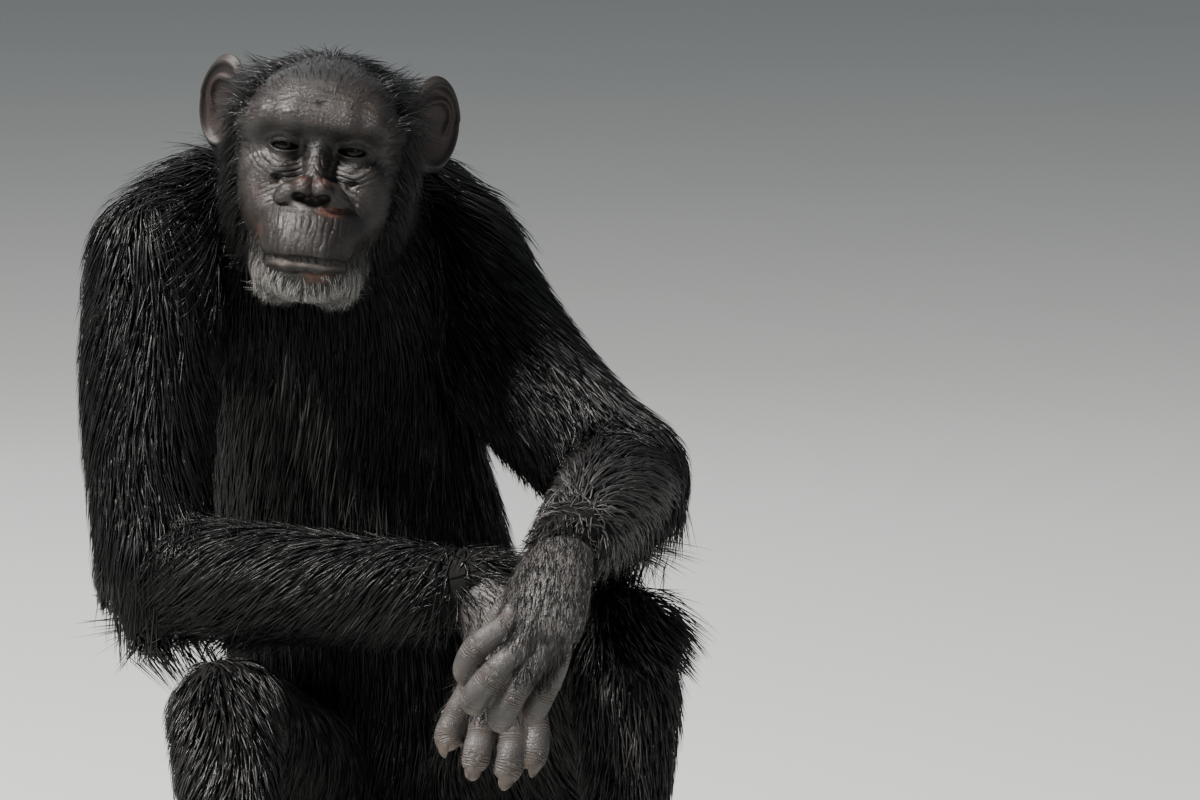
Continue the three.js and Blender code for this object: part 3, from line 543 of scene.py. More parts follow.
# %% [markdown]
# ## The head
# A face can't come from tubes. It is the zero surface of a distance function: balls for the skull, the
# muzzle, the cheeks and the forehead, rods for the brow, the cheekbones, the jaw and the lips, each blended
# into the rest, and cuts for the eye sockets, the mouth, the nostrils and the folds. A fine ball whose
# points crowd round the mouth is shrunk from outside until every point meets that surface. The finest
# wrinkles are then pressed into the points, along lines that run as a real ape's do.

# %% The head's distance function, in mm about the ear canals' midpoint
HEAD = {"at": (-52, -104, 636), "chin_down": 5.7, "yaw": 1.6, "roll": 6}
EYE = np.array((26.5, -77.5, 20))
EYE_RADIUS = 11.5
HEAD_CORE = np.array((0, -44, -4))
CROWDING = 0.62


def turn_about(axis, degrees):
    c, s = math.cos(math.radians(degrees)), math.sin(math.radians(degrees))
    i, j = [(1, 2), (2, 0), (0, 1)][axis]
    m = np.eye(3)
    m[i, i] = m[j, j] = c
    m[i, j], m[j, i] = -s, s
    return m


HEAD_TURN = turn_about(2, -HEAD["yaw"]) @ turn_about(1, HEAD["roll"]) @ turn_about(0, HEAD["chin_down"])


def to_world(p):
    return (p @ HEAD_TURN.T + HEAD["at"]) * MM


def to_head(p):
    return (p / MM - HEAD["at"]) @ HEAD_TURN


def ball(p, c, r):
    off = p - np.array(c)
    r = np.array(r, float)
    near = np.linalg.norm(off / r, axis=1)
    slope = np.linalg.norm(off / r ** 2, axis=1)
    return np.where(near < 1e-6, -r.min(), near * (near - 1) / np.maximum(slope, 1e-9))


def rod(p, start, end):
    """A rod between two places, given as x, y, z and radius."""
    a, b = np.array(start[:3], float), np.array(end[:3], float)
    t = np.clip((p - a) @ (b - a) / ((b - a) @ (b - a)), 0, 1)
    return np.linalg.norm(p - a - t[:, None] * (b - a), axis=1) - mix(start[3], end[3], t)


def blend(a, b, k):
    h = np.maximum(0, k - np.abs(a - b)) / k
    return np.minimum(a, b) - h * h * k / 4


def carve(a, b, k):
    return -blend(-a, b, k)


def shaped(d, p, parts):
    """Adds balls and chains of rods to a field, or cuts them out of it, with soft seams."""
    for way, softness, *form in parts:
        if len(form) == 2:
            made = [ball(p, *form)]
        else:
            made = [rod(p, start, end) for start, end in zip(form[0], form[0][1:])]
        for part in made:
            d = blend(d, part, softness) if way == "add" else carve(d, part, softness)
    return d


# %% The skull's forms: how each is used, the softness of its seam, and its ball or its rods
CRANIUM = ((0, -8, 28), (59, 76, 50))
SKULL = [
    ("add", 16, (34, -30, 18), (30, 48, 36)),
    ("add", 18, (0, -46, -6), (50, 42, 40)),
    ("add", 16, [(40, -78, -4, 12), (60, -40, 0, 12)]),
    ("add", 18, (0, -84, -40), (42, 46, 34)),
    ("add", 18, (0, -106, -43), (37, 37, 21.5)),
    ("add", 12, (0, -96, -75), (32, 36, 23)),
    ("add", 18, [(44, -18, -42, 20), (24, -80, -78, 18)]),
    ("add", 20, (38, -60, -25), (24, 34, 33)),
    ("add", 16, (0, -45, 47), (51, 32, 27)),
    ("add", 20, (0, -60, 51), (48, 26, 20)),
    ("cut", 8, (27, -103, 19), (23, 21, 14.5)),
]
BROW_START = [(0, -87, 42.5, 8), (22, -87, 43, 8)]
BROW = [
    ("add", 4, [(22, -87, 43, 8), (42, -83, 42.5, 8)]),
    ("add", 6, [(42, -83, 42.5, 8), (56, -68, 33, 8)]),
]
BROW_SOFTNESS = 20
FEATURES = [
    # The rim of the eye socket.
    ("add", 16, [(54, -70, 32, 8), (55, -64, 4, 9)]),
    # Lids over the eyeballs, and the soft bags below them, with two folds in each.
    ("add", 5, EYE, (14.4, 14.0, 14.0)),
    ("add", 8, (30, -84, 1), (17, 11, 9)),
    ("cut", 2.6, [(13, -101, 11, 1.3), (26, -99, 4, 1.6), (41, -88, 11, 1.2)]),
    ("cut", 3, [(14, -104, 4, 1.2), (28, -97, -5, 1.6), (44, -84, 2, 1.2)]),
    ("cut", 2.5, [(15, -95, 28, 1.2), (27, -96, 31, 1.5), (40, -87, 25, 1.2)]),
    # The low bridge, the two bulbs of the tip and the wings of the nose, and the creases that bound them.
    ("add", 12, [(0, -82, 24, 7.5), (0, -107, 0, 9)]),
    ("add", 5, (7, -120, -5), (8.5, 9.5, 8.5)),
    ("add", 6, (17, -112, -11), (11, 10, 8.5)),
    ("add", 5, (22, -112, -16), (9, 8, 5.5)),
    ("cut", 3, [(0, -129, 3, 1.3), (0, -130, -14, 1.9)]),
    ("cut", 4, [(13, -118, 5, 1.4), (25, -111, -3, 2.0), (34, -104, -17, 2.2)]),
    ("cut", 3, [(0, -131, -20, 1.3), (14, -126, -21, 1.5), (31, -109, -22.5, 1.5)]),
    # The short furrow from the wing of the nose down the muzzle, and the shallow one over the brow.
    ("cut", 5, [(31, -106, -22, 0.5), (40, -100, -33, 0.3)]),
    ("cut", 5, [(0, -89, 56, 0.2), (38, -82, 54, 0.2)]),
    # Lips: a rolled rim above and below the line of the mouth. Then the nostrils.
    ("add", 10, [(0, -139, -50, 6), (13, -136, -50.5, 5.6), (30, -120, -54.5, 5)]),
    ("add", 8, [(0, -137.5, -63.5, 4.8), (13, -134.5, -64, 4.6), (29, -118, -67.5, 3.6)]),
    ("cut", 1.5, (9.4, -126, -12.8), (6.2, 10, 4.4)),
]
SLIT_DEPTH = 4
LID_OPENING = (11.4, 15, 3.7)
LID_TILT = turn_about(2, 7)
EYE_PLAY = 0.2


# %% The whole head's distance function
def above_slit(x, z):
    """How far a place is above the line where the lips meet."""
    return z + 57.1 + 0.0053 * x * x


def face_field(q):
    """The whole head. Both halves are one half, mirrored, so x is made positive."""
    p = np.column_stack([np.abs(q[:, 0]), q[:, 1:]])
    d = shaped(ball(p, *CRANIUM), p, SKULL)
    brow = shaped(rod(p, *BROW_START), p, BROW)
    d = shaped(blend(d, brow, BROW_SOFTNESS), p, FEATURES)
    # The mouth is a slit along a curve that closes toward its corners.
    gap = mix(1.7, -1.5, rise(20, 40, p[:, 0])) * rise(-90, -104, p[:, 1])
    slit = np.maximum(np.abs(above_slit(p[:, 0], p[:, 2])) - gap, -d - SLIT_DEPTH)
    d = carve(d, slit, 1.0)
    # The openings between the lids, and the room of the eyeballs.
    off = p - (EYE + (0.5, -10, 0.4))
    d = carve(d, ball(off @ LID_TILT, (0, 0, 0), LID_OPENING), 1.2)
    return carve(d, ball(p, EYE, (EYE_RADIUS + EYE_PLAY,) * 3), 0.6)


START_REACH, ROUNDS, CAUTION = 165.0, 70, 0.62
PROBE = 0.6


def slope_of(field, p):
    """The way out of a field, by finite differences."""
    steps = np.eye(3) * PROBE
    return unit(np.column_stack([field(p + s) - field(p - s) for s in steps]))


def shrunk_onto(field, ways):
    """Distances from the head's core at which rays from outside meet a field."""
    reach = np.full(len(ways), START_REACH)
    for _ in range(ROUNDS):
        reach -= CAUTION * np.clip(field(HEAD_CORE + ways * reach[:, None]), -2, 60)
    return reach


# %% The head's skin
DEEP_FOLD = 0.7


def grooves(phase, sharpness=3):
    """Narrow dents, one for each turn of the phase."""
    return -np.maximum(0, np.sin(phase)) ** sharpness


def wrinkled(p):
    """How far each point of the face stands out or in: wrinkles and soft lumps, in mm."""
    x, y, z = np.abs(p[:, 0]), p[:, 1], p[:, 2]
    front = rise(-60, -84, y)
    lip = rise(-22, -29, z) * rise(-58, -53, z) * rise(38, 22, x) * rise(-104, -114, y)
    wander = 1.5 * np.sin(0.11 * z + 1.3) + 0.8 * np.sin(0.31 * z + 0.4 * p[:, 0])
    wander += 0.5 * np.sin(0.8 * p[:, 0])
    lines = 0.6 * lip * grooves(p[:, 0] * TAU / 5.6 + wander)
    lines += 0.3 * lip * grooves(p[:, 0] * TAU / 2.9 + 1.7 * wander)
    below = np.hypot(x - EYE[0], 1.2 * (z - EYE[2]))
    bags = rise(13, 16, below) * rise(38, 26, below) * rise(22, 12, z) * front
    lines += 0.8 * bags * grooves(below * TAU / 4.6 + 0.7 * np.sin(0.35 * x) + 0.5 * np.sin(0.4 * z))
    glabella = rise(17, 6, x) * rise(32, 40, z) * rise(56, 46, z) * front
    lines += 0.28 * glabella * grooves(p[:, 0] * TAU / 3.7 + 0.9 * np.sin(0.3 * z) + 2.0)
    bridge = rise(14, 8, x) * rise(2, 8, z) * rise(30, 22, z) * front
    lines += 0.5 * bridge * grooves(z * TAU / 5.2 + 0.06 * x * x)
    forehead = mix(1, 1.8, rise(60, 52, z)) * rise(43, 48, z) * rise(74, 62, z)
    forehead *= rise(52, 34, x) * rise(-10, -50, y)
    arch = (z + 0.005 * x * x) * TAU / 4.1 + 0.8 * np.sin(0.13 * p[:, 0]) + 0.4 * np.sin(0.31 * p[:, 0])
    lines += 0.36 * forehead * grooves(arch)
    crow = np.hypot(x - 47, z - 16)
    fan = np.arctan2(z - 16, x - 40)
    lines += 0.3 * rise(18, 10, crow) * front * grooves(11 * fan)
    cheek = rise(16, 24, x) * rise(46, 38, x) * rise(-4, -8, z) * rise(-30, -20, z) * front
    lines += 0.45 * cheek * grooves((0.6 * x + z) * TAU / 4.2 + 0.4 * np.sin(0.3 * x))
    chin = rise(-74, -80, z) * rise(-96, -110, y)
    lumps = 0.5 * np.sin(0.31 * p[:, 0] + 1) * np.sin(0.27 * z) * np.sin(0.23 * y + 2)
    lumps *= 0.6 * front * rise(30, 14, z)
    return lines + lumps + 0.3 * chin * np.sin(p[:, 0] * 0.9) * np.sin(z * 0.8)


shape = bmesh.new()
made = bmesh.ops.create_icosphere(shape, subdivisions=7, radius=1)["verts"]
ways = np.array([v.co for v in made])
polar = np.arccos(np.clip(-ways[:, 1], -1, 1)) / math.pi
crowded = math.pi * mix(polar, polar ** 2, CROWDING)
around = np.arctan2(ways[:, 2], ways[:, 0])
ways = np.column_stack([
    np.sin(crowded) * np.cos(around), -np.cos(crowded), np.sin(crowded) * np.sin(around)])
surface = HEAD_CORE + ways * shrunk_onto(face_field, ways)[:, None]
folds = wrinkled(surface)
surface += slope_of(face_field, surface) * folds[:, None]
moved(made, to_world(surface))
head_mesh = meshed(shape, "head")
# Painted shade: how deep each point lies in a fold is kept, so the finish can paint the folds' bottoms
# darker.
paint(head_mesh, "crease", np.clip(-folds / DEEP_FOLD, 0, 1))
print("head:", len(head_mesh.polygons), "faces")

# %% [markdown]
# ## Ears
# An ape's ear is a thin dish with a rolled rim and a second ridge inside it. A ball flattened to a disc has
# a front and a back already: the front is pressed in to make the bowl, raised along the rim and along the
# ridge, and the back follows it a few millimetres behind.

# %% Ears
EAR = {"at": np.array((67, 2, 25)), "half": (27, 39), "outward": 43, "lean": 7, "thick": 3.4}


def ear_mesh(side):
    shape = bmesh.new()
    made = bmesh.ops.create_uvsphere(shape, u_segments=96, v_segments=72, radius=1)["verts"]
    co = np.array([v.co for v in made])
    turn = np.arctan2(co[:, 1], co[:, 0])
    rho = np.clip(np.hypot(co[:, 0], co[:, 1]), 0, 1)
    outline = 1 + 0.05 * np.sin(turn) ** 3 - 0.05 * np.cos(2 * turn + 0.4) * (turn < 0)
    x = rho * np.cos(turn) * outline
    z = rho * np.sin(turn) * outline
    rim = np.exp(-((rho - 0.86) / 0.09) ** 2) * rise(-0.75, -0.35, np.cos(turn - 0.4))
    bowl = 1 - np.clip(rho / 0.84, 0, 1) ** 2
    ridge_at = 0.55 + 0.06 * np.sin(3 * turn)
    ridge = np.exp(-((rho - ridge_at) / 0.08) ** 2) * rise(-0.2, 0.4, np.cos(turn - 0.9))
    shell = np.exp(-((x + 0.35) ** 2 + (z + 0.15) ** 2) / 0.05)
    dish = 6.5 * bowl + 4 * shell - 3.6 * ridge - 3.2 * rim
    depth = EAR["thick"] * np.sqrt(np.maximum(0, 1 - rho ** 4)) * np.sign(co[:, 2])
    wide, tall = EAR["half"]
    flat = np.column_stack([wide * (x + 0.86), np.where(co[:, 2] < 0, dish, 0.8 * dish) + depth, tall * z])
    turned = flat @ turn_about(1, -EAR["lean"]).T @ turn_about(2, 0.9 * (90 - EAR["outward"])).T + EAR["at"]
    turned[:, 0] *= side
    moved(made, to_world(turned))
    bmesh.ops.recalc_face_normals(shape, faces=shape.faces[:])
    mesh = meshed(shape, "ear")
    front = (co[:, 2] < 0).astype(float)
    paint(mesh, "bowl", front * rise(0.9, 0.7, rho))
    paint(mesh, "rim", rise(0.72, 0.92, rho))
    return mesh


ears = {"right": ear_mesh(-1), "left": ear_mesh(1)}
print("ears:", len(ears["left"].polygons), "faces each")

# %% [markdown]
# ## Eyes and nails
# An eye is a ball with a clear bulge in front, so it catches a small sharp light. How far each point lies
# from the line of sight is kept on the mesh, and the material turns it into pupil, iris and dark white.
# A nail is a small curved plate on the outer side of a digit's last bend.

# %% Eyes
GAZE = unit(np.array((0.02, -1.0, -0.06)))


def eye_mesh(side):
    shape = bmesh.new()
    made = bmesh.ops.create_icosphere(shape, subdivisions=5, radius=1)["verts"]
    co = np.array([v.co for v in made])
    angle = np.degrees(np.arccos(np.clip(co @ GAZE, -1, 1)))
    bulge = 0.9 * np.maximum(0, 1 - (angle / 31) ** 2)
    centre = EYE * (side, 1, 1)
    moved(made, to_world(centre + co * (EYE_RADIUS - 0.3 + bulge)[:, None]))
    mesh = meshed(shape, "eye")
    paint(mesh, "ring", angle / 90)
    return mesh


eyes = {"right": eye_mesh(-1), "left": eye_mesh(1)}
print("eyes:", len(eyes["left"].polygons), "faces each")


# %% Nails
def nail(shape, form, radius, upward):
    """Adds a nail near the end of a digit, on the outer side of its bend or on top."""
    t = np.array((0.8, 0.91, 1.0))
    at = form.at(t)
    tangent = unit(at[2] - at[0])
    bend = at[0] - 2 * at[1] + at[2]
    dorsal = -bend if upward is None else np.array(upward, float)
    dorsal = unit(dorsal - tangent * (dorsal @ tangent))
    side = np.cross(tangent, dorsal)
    made = bmesh.ops.create_uvsphere(shape, u_segments=20, v_segments=12, radius=1)["verts"]
    co = np.array([v.co for v in made])
    sag = 0.35 * co[:, 0] ** 2 + 0.12 * co[:, 1] ** 2
    spot = at[1] + dorsal * 0.8 * radius
    for vert, p, drop in zip(made, co, sag):
        place = side * 0.62 * p[0] + tangent * 0.78 * p[1] + dorsal * (0.16 * p[2] - drop)
        vert.co = spot + radius * place


shape = bmesh.new()
for limbs, upward in ((HANDS, None), (FEET, (0, 0, 1))):
    for forms in limbs.values():
        for form in forms[1:]:
            nail(shape, form, form.sizes[-2, 0], upward)
nails_mesh = meshed(shape, "nails")
print("nails:", len(nails_mesh.polygons), "faces")

# %% [markdown]
# ## Skin, eye and nail finishes
# The bare face is dark grey-brown with paler, pinkish patches about the nose, the lower lip and the brow.
# Those places are painted on the mesh as masks, so that they stay where the features are. Folds and wrinkles
# are in the mesh, with painted shade in them; the eye sockets, the nostrils and the mouth's slit get painted
# shade too. Only pores and the finest creases are bump, from three noises and a crackle.

# %% Where the face is bare, pink or pale
head_points, _, _ = corners(head_mesh)
q = to_head(head_points)
x, y, z = np.abs(q[:, 0]), q[:, 1], q[:, 2]


def spot(points, centre, radius):
    """1 at a place on the face, falling softly to 0 at a radius, in mm."""
    return rise(1.0, 0.25, np.linalg.norm((points - np.array(centre)) / np.array(radius, float), axis=1))


both_sides = np.column_stack([x, y, z])
below_slit = -above_slit(x, z)
lip_rim = rise(7.4, 5.0, below_slit) * rise(2.2, 3.4, below_slit) * rise(33, 14, x) * rise(-106, -112, y)
PATCHES = [  # strength, points, centre and radius
    (0.95, q, (17, -122, -22), (18, 12, 6)),
    (0.9, q, (12, -131, -74), (17, 14, 8)),
    (0.35, q, (-34, -114, -44), (10, 12, 10)),
    (0.45, q, (38, -106, -52), (9, 12, 10)),
    (0.4, both_sides, (8, -122, 0), (12, 10, 9)),
    (0.35, both_sides, (30, -94, 37), (18, 12, 5)),
    (0.1, both_sides, (42, -92, -18), (12, 14, 16)),
]
patches = np.maximum.reduce([strength * spot(*place) for strength, *place in PATCHES])
paint(head_mesh, "rosy", patches)
paint(head_mesh, "lip", lip_rim)
paint(head_mesh, "furred", 1 - rise(-16, -40, y) * rise(63, 54, x) * rise(82, 62, z))
# Painted shade: the eye sockets under the brow, a strip across both eyes and the root of the nose, the
# nostrils and the slit of the mouth are painted dark, where shade falls.
slit = rise(3.0, 1.8, np.abs(below_slit)) * rise(38, 31, x) * rise(-98, -104, y)
eye_shade_band = rise(13, 19, z) * rise(43, 37, z) * rise(50, 40, x) * rise(-68, -76, y)
paint(head_mesh, "hollow", np.maximum.reduce([
    spot(both_sides, (27, -90, 22), (30, 26, 17)), 0.9 * eye_shade_band,
    spot(both_sides, (9.4, -122, -12.6), (7, 9, 5)), slit]))
print("rosy points:", int((patches > 0.3).sum()), "lip points:", int((lip_rim > 0.5).sum()))

# %% Skin finish
CLOUD_SCALE, GRAIN_SCALE, CRACKLE_SCALE, FOLD_SCALE = 26, 420, 620, 150
KNUCKLE_CREASE_GAP = 0.0021


def skin_finish(name, base, warm, gloss):
    look = Shader(name, Subsurface_Weight=0.0)
    place = look.place()
    cloud = look.noise(place, CLOUD_SCALE, 4, 0.6)
    grain = look.noise(place, GRAIN_SCALE, 3, 0.65)
    crackle = look.node("ShaderNodeTexVoronoi", {"feature": "DISTANCE_TO_EDGE"},
                        {"Vector": look.scaled(place, (1, 1, 1.6)), "Scale": CRACKLE_SCALE})
    rosy = (look.attribute("rosy") * (0.45 + cloud)).clamped()
    lip = look.attribute("lip")
    tone = look.mixed(base, tuple(1.7 * c for c in base), cloud.between(0.42, 0.66))
    tone = look.mixed(tone, warm, rosy)
    tone = look.mixed(tone, (0.17, 0.135, 0.12), lip * 0.8)
    # Painted shade darkens the bottoms of the folds and wrinkles.
    tone = look.mixed(tone, (0.006, 0.0045, 0.004), look.attribute("crease") * 0.6)
    # Painted shade in the eye sockets, the nostrils and the mouth's slit, and the dark skin where fur grows,
    # turn the colour nearly black.
    dark = (look.attribute("hollow") * 0.88 + look.attribute("furred")).clamped()
    tone = look.mixed(tone, (0.004, 0.0033, 0.0032), dark)
    look.feeds("Base Color", tone)
    matt = look.attribute("furred") * 0.35
    look.feeds("Roughness", (gloss + matt + 0.16 * (grain - 0.5) + 0.2 * (cloud - 0.5)).clamped())
    creases = look.attribute("knuckle") * (look.attribute("along") * (TAU / KNUCKLE_CREASE_GAP)).wave()
    folds = look.noise(look.scaled(place, (1, 1, 2.4)), FOLD_SCALE, 3, 0.6)
    relief = grain * 0.45 + crackle.between(0.0, 0.2) * 0.22 + cloud * 0.3 + folds * 0.9 + creases * 0.9
    look.bumped(relief, 0.0007, 0.9)
    return look.material


face_skin = skin_finish("bare face", (0.0155, 0.0117, 0.0105), (0.105, 0.045, 0.031), 0.36)
hand_skin = skin_finish("bare hands and feet", (0.052, 0.047, 0.045), (0.14, 0.100, 0.080), 0.42)

ear_look = Shader("ear skin", Roughness=0.58)
cloud = ear_look.noise(ear_look.place(), 60, 3, 0.6)
bowl = ear_look.attribute("bowl") * (0.4 + cloud)
tone = ear_look.mixed((0.007, 0.0055, 0.005), (0.020, 0.0092, 0.0075), bowl)
tone = ear_look.mixed(tone, (0.022, 0.0165, 0.015), ear_look.attribute("rim") * 0.7)
ear_look.feeds("Base Color", tone)
ear_look.bumped(ear_look.noise(ear_look.place(), 500, 2), 0.0004, 0.6)

eye_look = Shader("wet eye", Roughness=0.13, Specular_IOR_Level=0.2)
ring = eye_look.attribute("ring")
streaks = eye_look.noise(eye_look.place(), 900, 2)
iris = eye_look.mixed((0.004, 0.0018, 0.001), (0.010, 0.004, 0.002), streaks)
tone = eye_look.mixed((0.001, 0.001, 0.001), iris, ring.between(0.11, 0.14))
tone = eye_look.mixed(tone, (0.004, 0.0026, 0.002), ring.between(0.29, 0.35))
eye_look.feeds("Base Color", tone)

nail_look = Shader("nail", Roughness=0.35)
nail_look.feeds("Base Color", nail_look.mixed(
    (0.045, 0.035, 0.03), (0.11, 0.085, 0.07), nail_look.noise(nail_look.place(), 180, 3)))
nail_look.bumped(nail_look.noise(nail_look.place(), 700, 2), 0.0003, 0.5)
print("finishes ready")

# %% [markdown]
# ## Showing the skin
# The hands need one more thing: every knuckle has a fan of creases across it. The mesh keeps how far along
# its digit each point lies, and how near to a knuckle, and the finish draws fine waves from the two.

# %% Skin pieces
def nearest(forms, p):
    """For each point: which form it is nearest to, its depth there, and its place along and round it."""
    found = [form.find(p) for form in forms]
    depth, place, turn = (np.array(rows) for rows in zip(*found))
    best = depth.argmin(axis=0)
    row = np.arange(len(p))
    return best, depth[best, row], place[best, row], turn[best, row]


def mark_digits(mesh, forms):
    p, _, _ = corners(mesh)
    which, _, place, _ = nearest(forms, p)
    lengths = np.array([form.length for form in forms])
    along = place * lengths[which]
    knuckle = np.zeros(len(p))
    for number, form in enumerate(forms[1:], 1):
        joints = np.linspace(0, 1, len(form.points))[1:-1]
        for joint in joints:
            near = np.exp(-((place - joint) * form.length / (5 * MM)) ** 2)
            knuckle = np.maximum(knuckle, np.where(which == number, near, 0))
    paint(mesh, "along", along)
    paint(mesh, "knuckle", knuckle)
    paint(mesh, "rosy", np.where(which > 0, 0.7 * rise(0.72, 0.95, place) + 0.25 * knuckle, 0))


under_coat = Shader("skin under the coat", Roughness=0.8, Specular_IOR_Level=0.2)
under_coat.feeds("Base Color", under_coat.mixed(
    (0.003, 0.003, 0.003), (0.006, 0.0055, 0.0055), under_coat.noise(under_coat.place(), 60, 3)))
piece("trunk_skin", trunk, under_coat.material, list(BODY_NODES))
piece("head_skin", head_mesh, face_skin, ["head"])
for side in ("right", "left"):
    mark_digits(hands[side], HANDS[side])
    mark_digits(feet[side], FEET[side])
    piece(f"hand_skin_{side}", hands[side], hand_skin, [f"hand_{side}"])
    piece(f"foot_skin_{side}", feet[side], hand_skin, [f"foot_{side}"])
    piece(f"ear_{side}_dressed", ears[side], ear_look.material, [f"ear_{side}"])
    piece(f"eye_{side}_dressed", eyes[side], eye_look.material, [f"eye_{side}"])
piece("nails", nails_mesh, nail_look.material, [f"{limb_end}_{side}" for limb_end in ("hand", "foot")
                                                        for side in ("right", "left")])

# %% [markdown]
# ## How a coat grows
# A chimpanzee's coat is long, straight and sleek. Each tuft here is a thin three-sided blade that stands for
# a pinch of hairs. Its root is a random place on the skin. From there it steps along the coat's lie: each
# step is laid back onto the skin, a little higher than the one before, and on an underside it lets go and
# hangs. Tens of thousands of such blades overlap into a coat. They are built as arrays, because operators
# would take minutes for so many.
#
# The bake needs a UV map in which each tuft is a small patch at its root's place. Every form is unrolled
# onto a cell of its own: the turn round it across, the way along it up.

# %% Laying hair on the skin
SKINS = [trunk, head_mesh, *hands.values(), *feet.values()]
all_points, all_triangles, count = [], [], 0
for mesh in SKINS:
    co, triangles, _ = corners(mesh)
    all_points.append(co)
    all_triangles.append(triangles + count)
    count += len(co)
SKIN_TREE = BVHTree.FromPolygons(np.vstack(all_points).tolist(), np.vstack(all_triangles).tolist())
dice = np.random.default_rng(20)
UNDERSIDE = -0.3
HAIR_SHARE = 1
ROOT_DEPTH, HAIR_FLOOR_GAP, NEAR_SKIN = 1.5 * MM, 2 * MM, 4 * MM


def on_skin(p):
    """The nearest place on the skin to each point, and the way out there."""
    hits = [SKIN_TREE.find_nearest(row) for row in p.tolist()]
    return np.array([hit[0] for hit in hits]), np.array([hit[1] for hit in hits])


def scattered(mesh, per_square_metre):
    """Random places on a mesh, with the smooth normal at each."""
    co, triangles, normals = corners(mesh)
    a, b, c = (co[triangles[:, k]] for k in range(3))
    area = 0.5 * np.linalg.norm(np.cross(b - a, c - a), axis=1)
    total = int(area.sum() * per_square_metre * HAIR_SHARE)
    pick = dice.choice(len(area), total, p=area / area.sum())
    u, v = dice.random(total), dice.random(total)
    over = u + v > 1
    u[over], v[over] = 1 - u[over], 1 - v[over]
    weights = np.column_stack([1 - u - v, u, v])
    corner = triangles[pick]
    p = np.einsum("nk,nkx->nx", weights, co[corner])
    return p, unit(np.einsum("nk,nkx->nx", weights, normals[corner]))


def laid(roots, normals, lie, length, lift, steps, droop):
    """The paths of tufts over the skin, as points and the outward way at each."""
    step = (length / steps)[:, None]
    heights = [0.15 * lift + 0.85 * lift * (i / steps) ** 1.2 for i in range(steps + 1)]
    paths = [roots - normals * ROOT_DEPTH]
    outs = [normals]
    p = roots + normals * heights[0][:, None]
    out = normals
    for i in range(1, steps + 1):
        way = unit(lie - out * np.einsum("nx,nx->n", lie, out)[:, None])
        way[:, 2] -= droop * i
        p = p + unit(way) * step
        foot, out_here = on_skin(p)
        high = np.einsum("nx,nx->n", p - foot, out_here)
        apart = np.linalg.norm(p - foot, axis=1)
        free = (out_here[:, 2] < UNDERSIDE) | (apart > 3 * np.maximum(np.abs(high), NEAR_SKIN))
        held = np.where(free, np.maximum(high, heights[i]), heights[i])
        sideways = p - foot - out_here * high[:, None]
        p = foot + out_here * held[:, None] + sideways * free[:, None]
        p[:, 2] = np.maximum(p[:, 2], HAIR_FLOOR_GAP)
        out = np.where(free[:, None], out, out_here)
        paths.append(p)
        outs.append(out)
    return np.stack(paths, axis=1), np.stack(outs, axis=1)


# %% Blades
TAPER = {3: [0.7, 1.0, 0.7], 4: [0.7, 1.0, 0.85, 0.5]}
UV_PATCH = 0.003


def blades(name, paths, outs, width, tone, place):
    """A mesh of three-sided blades along paths. place is each root's spot on the unrolled skin."""
    total, rows = paths.shape[:2]
    steps = rows - 1
    ahead = unit(np.gradient(paths, axis=1))
    side = unit(np.cross(outs, ahead))
    up = np.cross(ahead, side)
    roll = dice.uniform(-0.5, 0.5, total)[:, None, None]
    side, up = side * np.cos(roll) + up * np.sin(roll), up * np.cos(roll) - side * np.sin(roll)
    half = (0.5 * width[:, None] * np.array(TAPER[steps]))[:, :, None]
    body = paths[:, :steps]
    ring = np.stack([
        body - side[:, :steps] * half,
        body + side[:, :steps] * half,
        body + up[:, :steps] * half * 0.55,
    ], axis=2).reshape(total, steps * 3, 3)
    points = np.concatenate([ring, paths[:, steps:]], axis=1)
    each = steps * 3 + 1
    quads = [[3 * i + k, 3 * i + (k + 1) % 3, 3 * i + 3 + (k + 1) % 3, 3 * i + 3 + k]
             for i in range(steps - 1) for k in range(3)]
    last = 3 * (steps - 1)
    tips = [[last + k, last + (k + 1) % 3, each - 1] for k in range(3)]
    local = np.array([n for face in quads + tips + [[2, 1, 0]] for n in face])
    sizes = np.array([4] * len(quads) + [3] * 4)
    loops = (local[None, :] + each * np.arange(total)[:, None]).ravel()
    counts = np.tile(sizes, total)
    mesh = bpy.data.meshes.new(name)
    mesh.vertices.add(total * each)
    mesh.vertices.foreach_set("co", points.astype(np.float32).ravel())
    mesh.loops.add(len(loops))
    mesh.loops.foreach_set("vertex_index", loops.astype(np.int32))
    mesh.polygons.add(len(counts))
    mesh.polygons.foreach_set("loop_start", np.concatenate([[0], np.cumsum(counts)[:-1]]).astype(np.int32))
    mesh.update(calc_edges=True)
    shares = np.append(np.repeat(np.arange(steps) / steps, 3), 1.0)
    across = np.append(np.tile([0.0, 1.0, 0.5], steps), 0.5)
    local_uv = np.column_stack([across - 0.5, shares])[local]
    patch = mesh.uv_layers.new(name="OFBake")
    spots = place[:, None, :] + UV_PATCH * local_uv[None]
    patch.data.foreach_set("uv", spots.astype(np.float32).ravel())
    strand = mesh.uv_layers.new(name="Strand")
    shift = np.column_stack([dice.random(total) * 40, dice.random(total) * 3])
    scale = np.column_stack([width / MM, np.ones(total)])
    strands = shift[:, None, :] + local_uv[None] * scale[:, None, :]
    strand.data.foreach_set("uv", strands.astype(np.float32).ravel())
    paint(mesh, "tone", np.repeat(tone, each))
    paint(mesh, "reach", np.tile(shares, total))
    return mesh


CELLS = 6


def unrolled(cell, turn, place):
    """The spot on the unwrap for a place along and round a form, whose cell is numbered."""
    low = np.column_stack([cell % CELLS, cell // CELLS]) + 0.04
    return (low + 0.9 * np.column_stack([turn, place])) / CELLS
